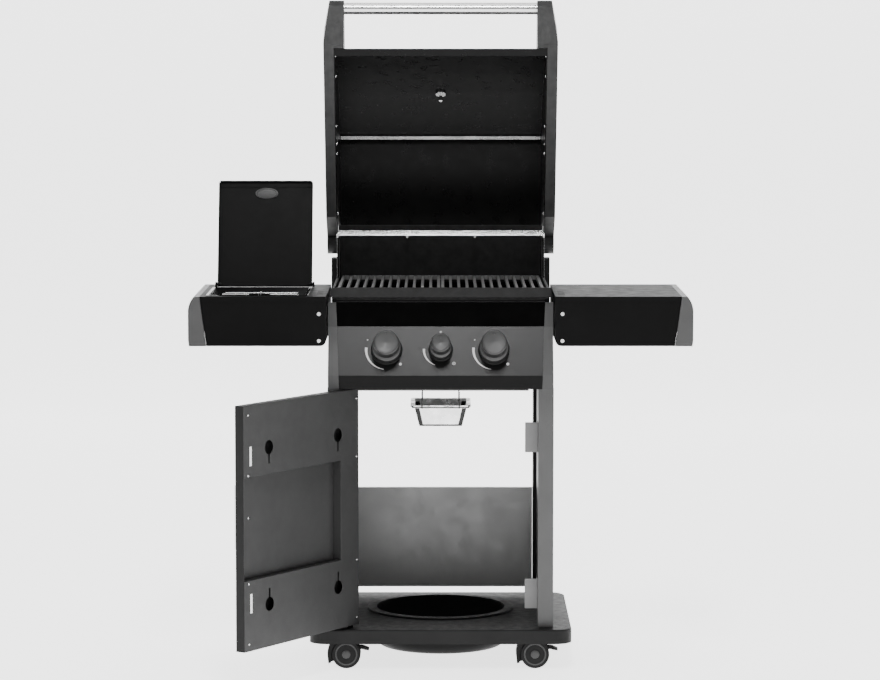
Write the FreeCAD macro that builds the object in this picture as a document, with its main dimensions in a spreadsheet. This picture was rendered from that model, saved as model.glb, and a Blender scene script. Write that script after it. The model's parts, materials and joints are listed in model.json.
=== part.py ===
import FreeCAD, Part
import math
import os
import re
import Sketcher

# Gas barbecue grill on a four-caster cart, with an open lid, an open door and a side burner.
# Frame: X to the user's right, Y to the back, Z up from the floor, millimetres.
# The grill rests with its lid, its door and its side burner lid open.  These are drawn closed
# and then turned about their own hinges by their placements.

V = FreeCAD.Vector
doc = FreeCAD.newDocument("gas_grill")
sheet = doc.addObject("Spreadsheet::Sheet", "Sizes")
aliases = set()
nodes = {}


def sizes(rows):
    """Add driving dimensions to the sheet: alias, value, what it is."""
    for alias, number, note in rows:
        row = len(aliases) + 1
        sheet.set("A%d" % row, note)
        sheet.set("B%d" % row, str(number))
        sheet.setAlias("B%d" % row, alias)
        aliases.add(alias)
    sheet.recompute()


def rule(formula):
    """Turn a formula over the sheet's aliases into a document expression."""
    def name(match):
        word = match.group()
        return "Sizes." + word if word in aliases else word
    return re.sub(r"[a-z][a-z_0-9]*", name, str(formula))


def number(formula):
    """The present value of a formula, in millimetres or degrees."""
    return float(sheet.evalExpression(rule(formula)))


def bind(item, **formulas):
    for prop, formula in formulas.items():
        item.setExpression(prop, rule(formula))


def put(item, x=0, y=0, z=0):
    """Bind an object's place to the sheet."""
    for letter, formula in zip("xyz", (x, y, z)):
        item.setExpression(".Placement.Base." + letter, rule(formula))
    return item


def block(name, x, y, z):
    """A box from three (low, high) pairs of formulas."""
    item = doc.addObject("Part::Box", name)
    for prop, (low, high) in zip(("Length", "Width", "Height"), (x, y, z)):
        item.setExpression(prop, rule("(%s) - (%s)" % (high, low)))
    return put(item, x[0], y[0], z[0])


TURNS = {
    "x": FreeCAD.Rotation(V(0, 1, 0), 90),
    "y": FreeCAD.Rotation(V(1, 0, 0), -90),
    "z": FreeCAD.Rotation(),
}


def rod(name, radius, axis, low, high, first, second):
    """A cylinder along a row axis; first and second are its other two coordinates."""
    item = doc.addObject("Part::Cylinder", name)
    bind(item, Radius=radius, Height="(%s) - (%s)" % (high, low))
    item.Placement = FreeCAD.Placement(V(), TURNS[axis])
    spots = {"x": (low, first, second), "y": (first, low, second), "z": (first, second, low)}
    return put(item, *spots[axis])


def wedge(name, x, y, z, x_top, y_top):
    """A box that tapers from its bottom rectangle to its top rectangle."""
    item = doc.addObject("Part::Wedge", name)
    bind(item, Xmin=x[0], Xmax=x[1], Ymin=z[0], Ymax=z[1], Zmin="-(%s)" % y[1], Zmax="-(%s)" % y[0])
    bind(item, X2min=x_top[0], X2max=x_top[1], Z2min="-(%s)" % y_top[1], Z2max="-(%s)" % y_top[0])
    item.Placement = FreeCAD.Placement(V(), FreeCAD.Rotation(V(1, 0, 0), 90))
    return item


def fuse(name, *items):
    item = doc.addObject("Part::MultiFuse", name)
    item.Shapes = list(items)
    return item


def cut(name, base, *tools):
    item = doc.addObject("Part::Cut", name)
    item.Base = base
    item.Tool = tools[0] if len(tools) == 1 else fuse(name + "_tools", *tools)
    return item


def common(name, first, second):
    item = doc.addObject("Part::MultiCommon", name)
    item.Shapes = [first, second]
    return item


def group(name, *items):
    """Separate solids that share one node."""
    item = doc.addObject("Part::Compound", name)
    item.Links = list(items)
    return item


def mirrored(name, source):
    """The same piece on the other side of the X = 0 plane."""
    item = doc.addObject("Part::Mirroring", name)
    item.Source = source
    item.Normal = V(1, 0, 0)
    return item


def rounded(name, base, radius, choose):
    """Fillet the edges of a base for which choose(edge) is true."""
    doc.recompute()
    item = doc.addObject("Part::Fillet", name)
    item.Base = base
    size = number(radius)
    picked = [i + 1 for i, edge in enumerate(base.Shape.Edges) if choose(edge)]
    item.Edges = [(i, size, size) for i in picked]
    return item


def along(letter):
    """A test for straight edges that run along one row axis."""
    index = "xyz".index(letter)

    def test(edge):
        ends = [v.Point for v in edge.Vertexes]
        if len(ends) != 2:
            return False
        span = ends[1] - ends[0]
        return abs(abs(span[index]) - span.Length) < 1e-6 and abs(edge.Length - span.Length) < 1e-6
    return test


def arc_between(start, end, radius):
    """An arc from start to end, bulging to the left for a positive radius."""
    chord = end - start
    left = V(-chord.y, chord.x, 0).normalize()
    half = chord.Length / 2
    rise = abs(radius) - math.sqrt(radius * radius - half * half)
    return Part.Arc(start, start + chord * 0.5 + left * math.copysign(rise, radius), end)


def outline(body, plane_role, points, label, lift=None):
    """A closed sketch through points (x, y) or (x, y, radius of the arc to the next point)."""
    sketch = body.newObject("Sketcher::SketchObject", label)
    plane = [f for f in body.Origin.OriginFeatures if f.Role == plane_role][0]
    sketch.AttachmentSupport = (plane, [""])
    sketch.MapMode = "FlatFace"
    if lift is not None:
        sketch.setExpression("AttachmentOffset.Base.z", rule(lift))
    spots = [V(number(p[0]), number(p[1]), 0) for p in points]
    count = len(points)
    ends = []
    for i, point in enumerate(points):
        start, end = spots[i], spots[(i + 1) % count]
        if len(point) == 3:
            curve = arc_between(start, end, number(point[2]))
        else:
            curve = Part.LineSegment(start, end)
        sketch.addGeometry(curve, False)
        same = (sketch.getPoint(i, 1) - start).Length < 1e-6
        ends.append((1, 2) if same else (2, 1))
    for i in range(count):
        follower = (i + 1) % count
        sketch.addConstraint(Sketcher.Constraint("Coincident", i, ends[i][1], follower, ends[follower][0]))
    for i, point in enumerate(points):
        for kind, formula in zip(("DistanceX", "DistanceY"), point):
            spot = sketch.addConstraint(Sketcher.Constraint(kind, -1, 1, i, ends[i][0], number(formula)))
            sketch.setExpression("Constraints[%d]" % spot, rule(formula))
        if len(point) == 3:
            size = "abs(%s)" % point[2]
            spot = sketch.addConstraint(Sketcher.Constraint("Radius", i, abs(number(point[2]))))
            sketch.setExpression("Constraints[%d]" % spot, rule(size))
    return sketch


PLANES = {"x": "YZ_Plane", "y": "XZ_Plane", "z": "XY_Plane"}


def prism(name, axis, points, low, high):
    """A padded section: along x the points are (y, z), along y (x, z), along z (x, y)."""
    body = doc.addObject("PartDesign::Body", name)
    lift = "-(%s)" % high if axis == "y" else low
    sketch = outline(body, PLANES[axis], points, name + "_section", lift)
    pad = body.newObject("PartDesign::Pad", name + "_pad")
    pad.Profile = sketch
    bind(pad, Length="(%s) - (%s)" % (high, low))
    return body


def turned(name, points):
    """A revolved section of (radius, height) points about the local Z axis."""
    body = doc.addObject("PartDesign::Body", name)
    sketch = outline(body, "XZ_Plane", points, name + "_section")
    spin = body.newObject("PartDesign::Revolution", name + "_turn")
    spin.Profile = sketch
    spin.ReferenceAxis = (sketch, ["V_Axis"])
    spin.Angle = 360
    return body


def keep(node, item):
    item.Label = node
    nodes[node] = item
    return item


def swing(item, axis, angle, y, z, x="0"):
    """Turn a finished piece about a hinge line given by its place."""
    centre = V(number(x), number(y), number(z))
    item.Placement = FreeCAD.Placement(V(), FreeCAD.Rotation(axis, number(angle)), centre)
    return item


def sides(name_right, name_left, item):
    """Keep a right-hand piece and its mirror image."""
    keep(name_right, item)
    keep(name_left, mirrored(name_left + "_mirror", item))


# ---- driving dimensions of the whole grill
sizes([
    ("front", -170.4, "Y of the front face of the pillars"),
    ("sheet", 1.5, "thickness of the folded sheet"),
    ("fit_gap", 0.05, "radial clearance of a running fit"),
    ("base_half", 320, "half width of the base tray"),
    ("base_front", "=front - 40", "front edge of the base tray"),
    ("base_rear", "=front + 515", "rear edge of the base tray"),
    ("base_low", 67, "underside of the base tray"),
    ("base_top", 102, "top of the base tray"),
    ("base_corner", 42, "corner radius of the base tray"),
    ("base_skin", 4, "wall of the moulded base tray"),
    ("dish_y", "=front + 280", "centre of the cylinder dish"),
    ("dish_lip", 184, "outer radius of the dish's lip"),
    ("dish_outer", 164, "outer radius of the dish's wall"),
    ("dish_wall", 3, "wall of the dish"),
    ("dish_floor", 11, "underside of the dish"),
    ("dish_bend", 30, "foot of the dish's upright wall"),
    ("dish_foot", 148, "radius of the flat of the dish's floor"),
    ("dish_round", 20, "outer radius where the dish's floor turns up"),
    ("leg_in", 237.5, "inner side of the legs"),
    ("leg_out", 275, "outer side of the legs"),
    ("leg_deep", 60, "depth of a leg's channel"),
    ("cart_rear", "=front + 500", "rear face of the cart"),
    ("leg_top", 691, "top of the legs"),
    ("shelf_top", 916, "height of the side shelves"),
])


# ---- base tray, cylinder dish and casters' sockets
sizes([
    ("caster_x", 231, "wheel centre of a caster, from the middle"),
    ("caster_trail", 18, "swivel axis to wheel axle"),
    ("caster_front_y", "=front + 20", "front casters"),
    ("caster_rear_y", "=front + 455", "rear casters"),
    ("stem_radius", 5.5, "radius of a caster's stem"),
    ("stem_top", 92, "top of a caster's stem"),
    ("socket_radius", 15, "outer radius of a stem's socket"),
    ("socket_low", 74, "underside of a stem's socket, inside the tray"),
])


def base_tray():
    x = ("-base_half", "base_half")
    raw = block("base_outside", x, ("base_front", "base_rear"), ("base_low", "base_top"))
    corners = rounded("base_corners", raw, "base_corner", along("z"))
    inner_x = ("-base_half + base_skin", "base_half - base_skin")
    inner_y = ("base_front + base_skin", "base_rear - base_skin")
    hollow = block("base_inside", inner_x, inner_y, ("base_low - 1", "base_top - base_skin"))
    hollow = rounded("base_inside_corners", hollow, "base_corner - base_skin", along("z"))
    top = number("base_top")
    soft = rounded("base_edge", corners, "base_skin", lambda e: abs(e.BoundBox.ZMin - top) < 1e-6)
    mouth = rod("base_mouth", "dish_outer + 0.5", "z", "base_low - 1", "base_top + 1", "0", "dish_y")
    shell = cut("base_shell", soft, hollow, mouth)
    sockets = []
    bores = []
    for i, (x, y) in enumerate(caster_axes()):
        sockets.append(rod("socket_%d" % i, "socket_radius", "z", "socket_low", "base_top - 2", x, y))
        bores.append(rod("bore_%d" % i, "stem_radius + fit_gap", "z", "base_low - 1", "stem_top + 1", x, y))
    keep("base_tray", cut("base_tray_part", fuse("base_with_sockets", shell, *sockets), *bores))


def caster_axes():
    """Swivel axes: front left, front right, rear left, rear right."""
    rows = ("caster_front_y", "caster_rear_y")
    return [("%s - caster_trail" % x, y) for y in rows for x in ("-caster_x", "caster_x")]


def cylinder_dish():
    section = [
        ("0", "dish_floor"), ("dish_foot", "dish_floor", "-dish_round"),
        ("dish_outer", "dish_bend"), ("dish_outer", "base_top"), ("dish_lip", "base_top"),
        ("dish_lip", "base_top + 5"), ("dish_outer - dish_wall", "base_top + 5"),
        ("dish_outer - dish_wall", "dish_bend", "dish_round - dish_wall"),
        ("dish_foot - dish_wall", "dish_floor + dish_wall"), ("0", "dish_floor + dish_wall"),
    ]
    keep("cylinder_dish", put(turned("cylinder_dish_part", section), "0", "dish_y", "0"))


# ---- cart frame
sizes([
    ("panel_in", 245.5, "inner face of a side panel"),
    ("panel_low", 112, "lower edge of a side panel"),
    ("back_half", 237, "half width of the back panel"),
    ("back_low", 121, "lower edge of the back panel"),
    ("back_high", 380, "upper edge of the back panel"),
    ("back_fold", 14, "depth of the back panel's folded edges"),
    ("catch_in", 206, "inner edge of the catch plates"),
    ("catch_tall", 74, "height of a catch plate"),
    ("catch_first", 143, "lower edge of the lower catch plate"),
    ("catch_second", 529, "lower edge of the upper catch plate"),
    ("rail_top", 716, "top of the cross rails"),
    ("rail_front", "=front + 56", "front of the front cross rail"),
    ("rail_deep", 44, "depth of the front cross rail"),
    ("runner_low", 670, "underside of the drip tray's runners"),
    ("runner_in", 222, "inner edge of the runners' ledges"),
    ("runner_start", "=front + 180", "front end of the runners"),
])


def channel(name, low_y, high_y):
    """A three-sided leg channel on the right, open towards the middle of the cart's depth."""
    outside = block(name + "_outside", ("leg_in", "leg_out"), (low_y, high_y), ("base_top", "leg_top"))
    is_front = name.startswith("front")
    inner_low = low_y + " + sheet" if is_front else low_y + " - 1"
    inner_high = high_y + " + 1" if is_front else high_y + " - sheet"
    hollow_z = ("base_top - 1", "leg_top - sheet")
    hollow = block(name + "_inside", ("leg_in + sheet", "leg_out - sheet"), (inner_low, inner_high),
                   hollow_z)
    return cut(name + "_channel", outside, hollow)


def cart_sides():
    sides("front_right_pillar", "front_left_pillar", channel("front_pillar", "front", "front + leg_deep"))
    rear = channel("rear_leg", "cart_rear - leg_deep", "cart_rear")
    panel_y = ("front + leg_deep", "cart_rear - leg_deep")
    panel = block("side_sheet", ("panel_in", "panel_in + sheet"), panel_y, ("panel_low", "leg_top"))
    web_y = ("cart_rear - leg_deep - sheet", "cart_rear - leg_deep")
    web = block("side_web", ("leg_in", "leg_out"), web_y, ("panel_low", "leg_top"))
    sides("right_side_panel", "left_side_panel", fuse("side_panel_part", rear, panel, web))


def back_panel():
    x = ("-back_half", "back_half")
    face = block("back_face", x, ("cart_rear - sheet", "cart_rear"), ("back_low", "back_high"))
    fold_y = ("cart_rear - back_fold", "cart_rear")
    low = block("back_low_fold", x, fold_y, ("back_low", "back_low + sheet"))
    high = block("back_high_fold", x, fold_y, ("back_high - sheet", "back_high"))
    keep("back_panel", fuse("back_panel_part", face, low, high))


def catch_plates():
    plates = []
    for name, z in (("lower", "catch_first"), ("upper", "catch_second")):
        span = (z, z + " + catch_tall")
        flat = block(name + "_catch", ("catch_in", "leg_in"), ("front + 31", "front + 33"), span)
        foot = block(name + "_catch_foot", ("leg_in - 2", "leg_in"), ("front + 31", "front + 55"), span)
        plates.append(fuse(name + "_catch_plate", flat, foot))
    keep("catch_plates", group("catch_plates_group", *plates))


def cross_rails():
    x = ("-leg_out", "leg_out")
    z = ("leg_top", "rail_top")
    front_rail = block("front_rail", x, ("rail_front", "rail_front + rail_deep"), z)
    front_gap = block(
        "front_rail_gap", ("-leg_out + 2", "leg_out - 2"),
        ("rail_front + 2", "rail_front + rail_deep - 2"), ("leg_top - 1", "rail_top - 2"))
    rear_y = ("cart_rear - 100", "cart_rear - 56")
    rear_rail = block("rear_rail", x, rear_y, z)
    rear_gap = block(
        "rear_rail_gap", ("-leg_out + 2", "leg_out - 2"),
        ("cart_rear - 98", "cart_rear - 58"), ("leg_top - 1", "rail_top - 2"))
    runners = []
    for side, sign in (("left", "-"), ("right", "")):
        inner, outer = sign + "runner_in", sign + "(runner_in + 12)"
        wall = sign + "(runner_in + 10)"
        span = (outer, inner) if sign else (inner, outer)
        wall_span = (outer, wall) if sign else (wall, outer)
        run = ("runner_start", "cart_rear - 60")
        ledge = block(side + "_ledge", span, run, ("runner_low", "runner_low + 2"))
        web = block(side + "_runner", wall_span, run, ("runner_low", "leg_top"))
        tie = block(side + "_tie", wall_span, ("rail_front + rail_deep - 4", "runner_start"),
                    ("leg_top - 6", "leg_top + 1"))
        runners += [ledge, web, tie]
    rails = cut("rails_hollow", fuse("rails_solid", front_rail, rear_rail), front_gap, rear_gap)
    keep("cross_rails", fuse("cross_rails_part", rails, *runners))


# ---- firebox
sizes([
    ("fire_half", 262, "outer half width of the firebox"),
    ("fire_wall", 6, "end wall of the firebox"),
    ("rim_top", 935, "top of the firebox's front rim"),
    ("rim_low", 912, "underside of the firebox's front rim"),
    ("rim_half", 268, "half width of the rim"),
    ("fire_bottom", 692, "lowest point of the firebox"),
    ("fire_rear_top", 1030, "top of the firebox's ends at the rear"),
    ("fire_screen_top", 1058, "top of the firebox's rear wall"),
    ("skin_fire", 5, "wall of the firebox"),
    ("lid_hinge_y", "=front + 550", "lid hinge line"),
    ("lid_hinge_z", 1015, "lid hinge line"),
    ("lid_pin", 5, "radius of a lid pin"),
    ("burner_x", 130, "main burners, from the middle"),
    ("burner_z", 792, "axis of the main burners"),
    ("burner_radius", 19, "radius of a main burner's tube"),
    ("venturi_radius", 12, "radius of a burner's inlet tube"),
    ("grate_top", 930, "cooking surface"),
    ("grate_thick", 10, "depth of a grate's bars"),
    ("grate_half", 252, "outer edge of the grates"),
    ("grate_front", "=front + 22", "front edge of the grates"),
    ("grate_rear", "=front + 478", "rear edge of the grates"),
])


def firebox():
    outside = [
        ("front", "rim_top"), ("front", "rim_low"), ("front + 25", "rim_low - 7"), ("front + 75",
                "rail_top"),
        ("front + 100", "rail_top"), ("front + 200", "fire_bottom"), ("front + 300", "fire_bottom"),
        ("front + 400", "rail_top"), ("front + 444", "rail_top"), ("cart_rear", "rim_low - 7"),
        ("cart_rear", "fire_rear_top"), ("front + 440", "fire_rear_top"), ("front + 390", "rim_top"),
    ]
    inside = [
        ("front + skin_fire", "fire_rear_top + 9"), ("front + skin_fire", "rim_low + 2"),
        ("front + 30", "rim_low - 5"),
        ("front + 79", "rail_top + skin_fire"), ("front + 101", "rail_top + skin_fire"),
        ("front + 201", "fire_bottom + skin_fire"), ("front + 299", "fire_bottom + skin_fire"),
        ("front + 399", "rail_top + skin_fire"), ("front + 440", "rail_top + skin_fire"),
        ("cart_rear - skin_fire", "rim_low - 6"), ("cart_rear - skin_fire", "fire_rear_top + 9"),
    ]
    shell = prism("firebox_outside", "x", outside, "-fire_half", "fire_half")
    hollow = prism("firebox_inside", "x", inside, "-(fire_half - fire_wall)", "fire_half - fire_wall")
    lip = block("front_rim", ("-rim_half", "rim_half"), ("front - 5", "front + skin_fire"),
                ("rim_low", "rim_top"))
    screen = block("rear_screen", ("-fire_half", "fire_half"), ("cart_rear - skin_fire", "cart_rear"),
                   ("fire_rear_top - 5", "fire_screen_top"))
    ledge_x = ("-(fire_half - fire_wall)", "fire_half - fire_wall")
    ledge_z = ("grate_top - grate_thick - 6", "grate_top - grate_thick")
    ledges = [
        block("front_ledge", ledge_x, ("front + skin_fire", "front + 36"), ledge_z),
        block("rear_ledge", ledge_x, ("cart_rear - 36", "cart_rear - skin_fire"), ledge_z),
    ]
    ears = []
    for side, sign in (("right", 1), ("left", -1)):
        def span(low, high):
            return (low, high) if sign > 0 else ("-(%s)" % high, "-(%s)" % low)
        ear_x = span("fire_half - fire_wall", "fire_half")
        ears.append(block(side + "_ear", ear_x, ("cart_rear - 20", "lid_hinge_y + 18"),
                          ("rim_top - 40", "lid_hinge_z + 18")))
        ears.append(block(side + "_corner", span("fire_half - 1", "281"), ("front + 506", "front + 562"),
                          ("882", "972")))
        ears.append(block(side + "_corner_tie", span("fire_half - fire_wall", "fire_half"),
                          ("cart_rear - 8", "front + 562"), ("882", "972")))
    drain = block("drain", ("-60", "60"), ("front + 205", "front + 295"),
                  ("fire_bottom - 1", "fire_bottom + 9"))
    holes = [drain, rod("lid_pin_holes", "lid_pin + fit_gap", "x", "-300", "300", "lid_hinge_y",
                        "lid_hinge_z")]
    for side, x in (("right", "burner_x"), ("left", "-burner_x")):
        holes.append(rod(side + "_venturi_hole", "venturi_radius + 1.5", "y", "front - 2", "front + 120", x,
                         "burner_z"))
    body = cut("firebox_shell", shell, hollow)
    keep("firebox", cut("firebox_part", fuse("firebox_solid", body, lip, screen, *ledges, *ears), *holes))


def main_burners():
    tubes = []
    for side, x in (("right", "burner_x"), ("left", "-burner_x")):
        tube = rod(side + "_burner_tube", "burner_radius", "y", "front + 84", "front + 430", x, "burner_z")
        bore = rod(side + "_burner_bore", "burner_radius - 1.5", "y", "front + 86", "front + 428", x,
                   "burner_z")
        inlet = rod(side + "_venturi", "venturi_radius", "y", "front + 34", "front + 85", x, "burner_z")
        inlet_bore = rod(side + "_venturi_bore", "venturi_radius - 1.5", "y", "front + 33", "front + 90", x,
                         "burner_z")
        tubes.append(cut(side + "_burner", fuse(side + "_burner_solid", tube, inlet), bore, inlet_bore))
    keep("main_burners", group("main_burners_group", *tubes))


def heat_plates():
    plates = []
    for i, x in enumerate(("-burner_x", "0", "burner_x")):
        section = [
            ("%s - 58" % x, "838"), ("%s - 56" % x, "836.5"), ("%s" % x, "877"), ("%s + 56" % x, "836.5"),
            ("%s + 58" % x, "838"), ("%s" % x, "880"),
        ]
        plates.append(prism("heat_plate_%d" % i, "y", section, "front + 60", "front + 440"))
    keep("heat_plates", group("heat_plates_group", *plates))


def igniter_electrodes():
    parts = []
    for side, x in (("right", "burner_x + 32"), ("left", "-burner_x + 32")):
        ceramic = rod(side + "_ceramic", "4.5", "y", "front + 92", "front + 130", x, "burner_z + 12")
        tip = rod(side + "_tip", "1.2", "y", "front + 129", "front + 146", x, "burner_z + 12")
        parts.append(fuse(side + "_electrode", ceramic, tip))
    keep("igniter_electrodes", group("igniter_electrodes_group", *parts))


def cooking_grate():
    z = ("grate_top - grate_thick", "grate_top")
    y = ("grate_front", "grate_rear")
    edge = 8
    bars = [
        block("grate_side_in", ("1", "1 + %d" % edge), y, z),
        block("grate_side_out", ("grate_half - %d" % edge, "grate_half"), y, z),
        block("grate_front_bar", ("1", "grate_half"), ("grate_front", "grate_front + %d" % edge), z),
        block("grate_rear_bar", ("1", "grate_half"), ("grate_rear - %d" % edge, "grate_rear"), z),
    ]
    count = 12
    for i in range(1, count):
        x = "1 + %d * (grate_half - 9) / %d" % (i, count)
        bars.append(block("grate_bar_%d" % i, (x, x + " + 7"), y, z))
    sides("right_cooking_grate", "left_cooking_grate", fuse("grate_part", *bars))


sizes([
    ("rack_z", 1044, "height of the warming rack"),
    ("rack_front", "=front + 300", "front wire of the warming rack"),
    ("rack_rear", "=front + 480", "rear wire of the warming rack"),
    ("rack_half", 261, "half width of the warming rack"),
    ("rack_wire", 2.2, "radius of the rack's wires"),
])


def warming_rack():
    wires = []
    count = 9
    for i in range(count):
        y = "rack_front + %d * (rack_rear - rack_front) / %d" % (i, count - 1)
        wires.append(rod("rack_wire_%d" % i, "rack_wire", "x", "-rack_half", "rack_half", y, "rack_z"))
    for i, x in enumerate(("-259", "-84", "86", "259")):
        y = ("rack_front - 4", "rack_rear + 4")
        wires.append(rod("rack_cross_%d" % i, "rack_wire", "y", y[0], y[1], x,
                         "rack_z - 2 * rack_wire + 0.5"))
        if abs(int(x)) > 200:
            wires.append(rod("rack_leg_%d" % i, "rack_wire", "z", "rim_top", "rack_z - 3", x,
                             "front + 330"))
            wires.append(rod("rack_foot_%d" % i, "rack_wire", "z", "fire_rear_top", "rack_z - 3", x,
                             "front + 470"))
    keep("warming_rack", fuse("warming_rack_part", *wires))


# ---- control panel, valves and knobs
sizes([
    ("console_front", "=front - 35", "face of the console's lower strip"),
    ("console_low", 691, "lower edge of the console"),
    ("console_bend", 724, "where the lower strip bends into the slope"),
    ("slope_top_y", "=front + 15", "upper edge of the slope"),
    ("slope_top", 839, "upper edge of the slope"),
    ("vent_top", 898, "upper edge of the vent strip"),
    ("vent_y", "=front + 18", "face of the vent strip's top"),
    ("console_half", 254, "half width of the console's face"),
    ("console_side", 273, "outer side of the console"),
    ("slope_angle", "=atan((slope_top_y - console_front) / (slope_top - console_bend))",
     "slope from upright"),
    ("knob_z", 784, "height of the knobs' axes on the slope"),
    ("knob_y", "=console_front + (knob_z - console_bend) * tan(slope_angle)", "knobs' axes on the slope"),
    ("knob_left_x", -131, "left burner knob"),
    ("knob_right_x", 129, "right burner knob"),
    ("spindle_radius", 4, "radius of a valve spindle"),
    ("bezel_tall", 5, "height of a knob's bezel"),
    ("knob_start", 9, "knob's skirt above the slope"),
    ("knob_length", 52, "length of a knob"),
    ("knob_skirt", 15, "height of a knob's skirt"),
    ("knob_neck", 22, "top of the groove between skirt and cap"),
])

KNOBS = (
    ("left", "knob_left_x", 31, 36, 38.5),
    ("center", "0", 23.5, 27.5, 30),
    ("right", "knob_right_x", 31, 36, 38.5),
)


def face_line(offset):
    """The console's face, moved outwards by an offset, from its lower edge to the vent strip."""
    return [
        ("console_front - %s" % offset, "console_low"), ("console_front - %s" % offset, "console_bend"),
        ("slope_top_y - %s" % offset, "slope_top"),
    ]


def on_slope(item, x):
    """Stand a piece on the sloping face, its own Z axis along the knob's axis."""
    item.Placement = FreeCAD.Placement(V(), FreeCAD.Rotation(V(1, 0, 0), 90 - number("slope_angle")))
    return put(item, x, "knob_y", "knob_z")


def control_panel():
    outer = face_line("0")
    inner = [(y + " + sheet", z) for y, z in reversed(outer)]
    face = prism("console_sheet", "x", outer + inner, "-console_half", "console_half")
    flange_y = ("console_front + sheet", "console_front + 16")
    flange_x = ("-console_half", "console_half")
    flange = block("console_flange", flange_x, flange_y, ("console_low", "console_low + sheet"))
    holes = []
    for name, x, _, _, _ in KNOBS:
        hole = doc.addObject("Part::Cylinder", name + "_panel_hole")
        bind(hole, Radius="spindle_radius + 2", Height="20")
        hole.Placement = FreeCAD.Placement(V(), FreeCAD.Rotation())
        holes.append(on_slope(centred(hole, name + "_panel_hole_spot", "-10"), x))
    keep("control_panel", cut("control_panel_part", fuse("console_folded", face, flange), *holes))


def centred(item, name, lift):
    """A one-piece compound that shifts its piece along its own Z axis."""
    put(item, "0", "0", lift)
    return group(name, item)


def vent_strip():
    outer = [("slope_top_y", "slope_top + 0.5"), ("vent_y", "vent_top")]
    inner = [("vent_y + sheet", "vent_top"), ("slope_top_y + sheet", "slope_top + 0.5")]
    face = prism("vent_sheet", "x", outer + inner, "-console_half", "console_half")
    x = ("-console_half", "console_half")
    flange = block("vent_flange", x, ("vent_y", "vent_y + 1.9"), ("vent_top - sheet", "vent_top"))
    keep("vent_strip", fuse("vent_strip_part", face, flange))


def control_panel_trims():
    outer = face_line("3") + [("vent_y - 3", "vent_top")]
    inner = [("vent_y + 2", "vent_top")] + [(y, z) for y, z in (
        ("slope_top_y + 2", "slope_top"), ("console_front + 2", "console_bend"), ("console_front + 2",
                "console_low"))]
    section = prism("trim_section", "x", outer + inner, "console_half - 8", "console_side")
    inner_low = "console_half - 8"
    face = [(inner_low, "console_low"), ("console_side", "console_low"), ("console_side", "vent_top"),
            ("console_half", "vent_top")]
    plate = prism("trim_outline", "y", face, "console_front - 10", "vent_y + 10")
    shaped = common("trim_shape", section, plate)
    # The panel's sheet runs behind the trim, so its own thickness is taken out.
    clear = block("trim_clear", ("0", "console_half + 0.2"), ("console_front - 0.01", "vent_y + 20"),
                  ("console_low - 1", "console_bend"))
    slope = [("console_front", "console_bend"), ("slope_top_y", "slope_top"), ("vent_y", "vent_top + 1"),
             ("vent_y + 30", "vent_top + 1"), ("vent_y + 30", "console_bend")]
    clear_slope = prism("trim_clear_slope", "x", slope, "0", "console_half + 0.2")
    right = cut("right_trim", shaped, clear, clear_slope)
    keep("control_panel_trims", group("trims_group", right, mirrored("left_trim", right)))


def knob_bezels():
    rings = []
    for name, x, _, _, radius in KNOBS:
        section = [("9", "0.1"), (str(radius), "0.1"), (str(radius), "2.5"),
                   (str(radius - 2), "bezel_tall"),
                   ("9", "bezel_tall")]
        rings.append(group(name + "_bezel_spot", turned(name + "_bezel", section)))
        on_slope(rings[-1], x)
    keep("knob_bezels", group("knob_bezels_group", *rings))


def knobs():
    for name, x, cap, skirt, _ in KNOBS:
        section = [
            ("0", "knob_start"), (str(skirt), "knob_start"), (str(skirt), "knob_start + knob_skirt - 3"),
            (str(skirt - 2), "knob_start + knob_skirt"), (str(cap - 1), "knob_start + knob_skirt + 2"),
            (str(cap - 2.5), "knob_start + knob_skirt + 3"), (str(cap - 2.5), "knob_start + knob_neck"),
            (str(cap), "knob_start + knob_neck + 2"), (str(cap), "knob_start + knob_length - 2.5"),
            (str(cap - 2), "knob_start + knob_length"), (str(cap - 4), "knob_start + knob_length - 1.5"),
            ("0", "knob_start + knob_length - 3.5"),
        ]
        solid = turned(name + "_knob_solid", section)
        bore = doc.addObject("Part::Cylinder", name + "_knob_bore")
        bind(bore, Radius="spindle_radius + fit_gap", Height="24")
        put(bore, "0", "0", "knob_start - 1")
        notch = block(name + "_notch", ("-1.5", "1.5"), (str(cap - 14), str(cap - 8)),
                      ("knob_start + knob_length - 5", "knob_start + knob_length + 1"))
        keep("knob_" + name, on_slope(cut(name + "_knob_part", solid, bore, notch), x))
        shaft = doc.addObject("Part::Cylinder", name + "_spindle_shaft")
        bind(shaft, Radius="spindle_radius", Height="48")
        put(shaft, "0", "0", "-20")
        keep("valve_spindle_" + name, on_slope(group(name + "_spindle_part", shaft), x))


def gas_valves():
    valves = []
    for name, x, _, _, _ in KNOBS:
        body = doc.addObject("Part::Cylinder", name + "_valve_barrel")
        bind(body, Radius="11", Height="30")
        put(body, "0", "0", "-38")
        neck = doc.addObject("Part::Cylinder", name + "_valve_neck")
        bind(neck, Radius="8", Height="6")
        put(neck, "0", "0", "-8.5")
        bore = doc.addObject("Part::Cylinder", name + "_valve_bore")
        bind(bore, Radius="spindle_radius + fit_gap", Height="24")
        put(bore, "0", "0", "-24")
        inlet = doc.addObject("Part::Box", name + "_valve_inlet")
        bind(inlet, Length="10", Width="16", Height="10")
        put(inlet, "-5", "-26", "-36")
        solid = cut(name + "_valve", fuse(name + "_valve_solid", body, neck, inlet), bore)
        valves.append(on_slope(group(name + "_valve_spot", solid), x))
    keep("gas_valves", group("gas_valves_group", *valves))


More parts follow.
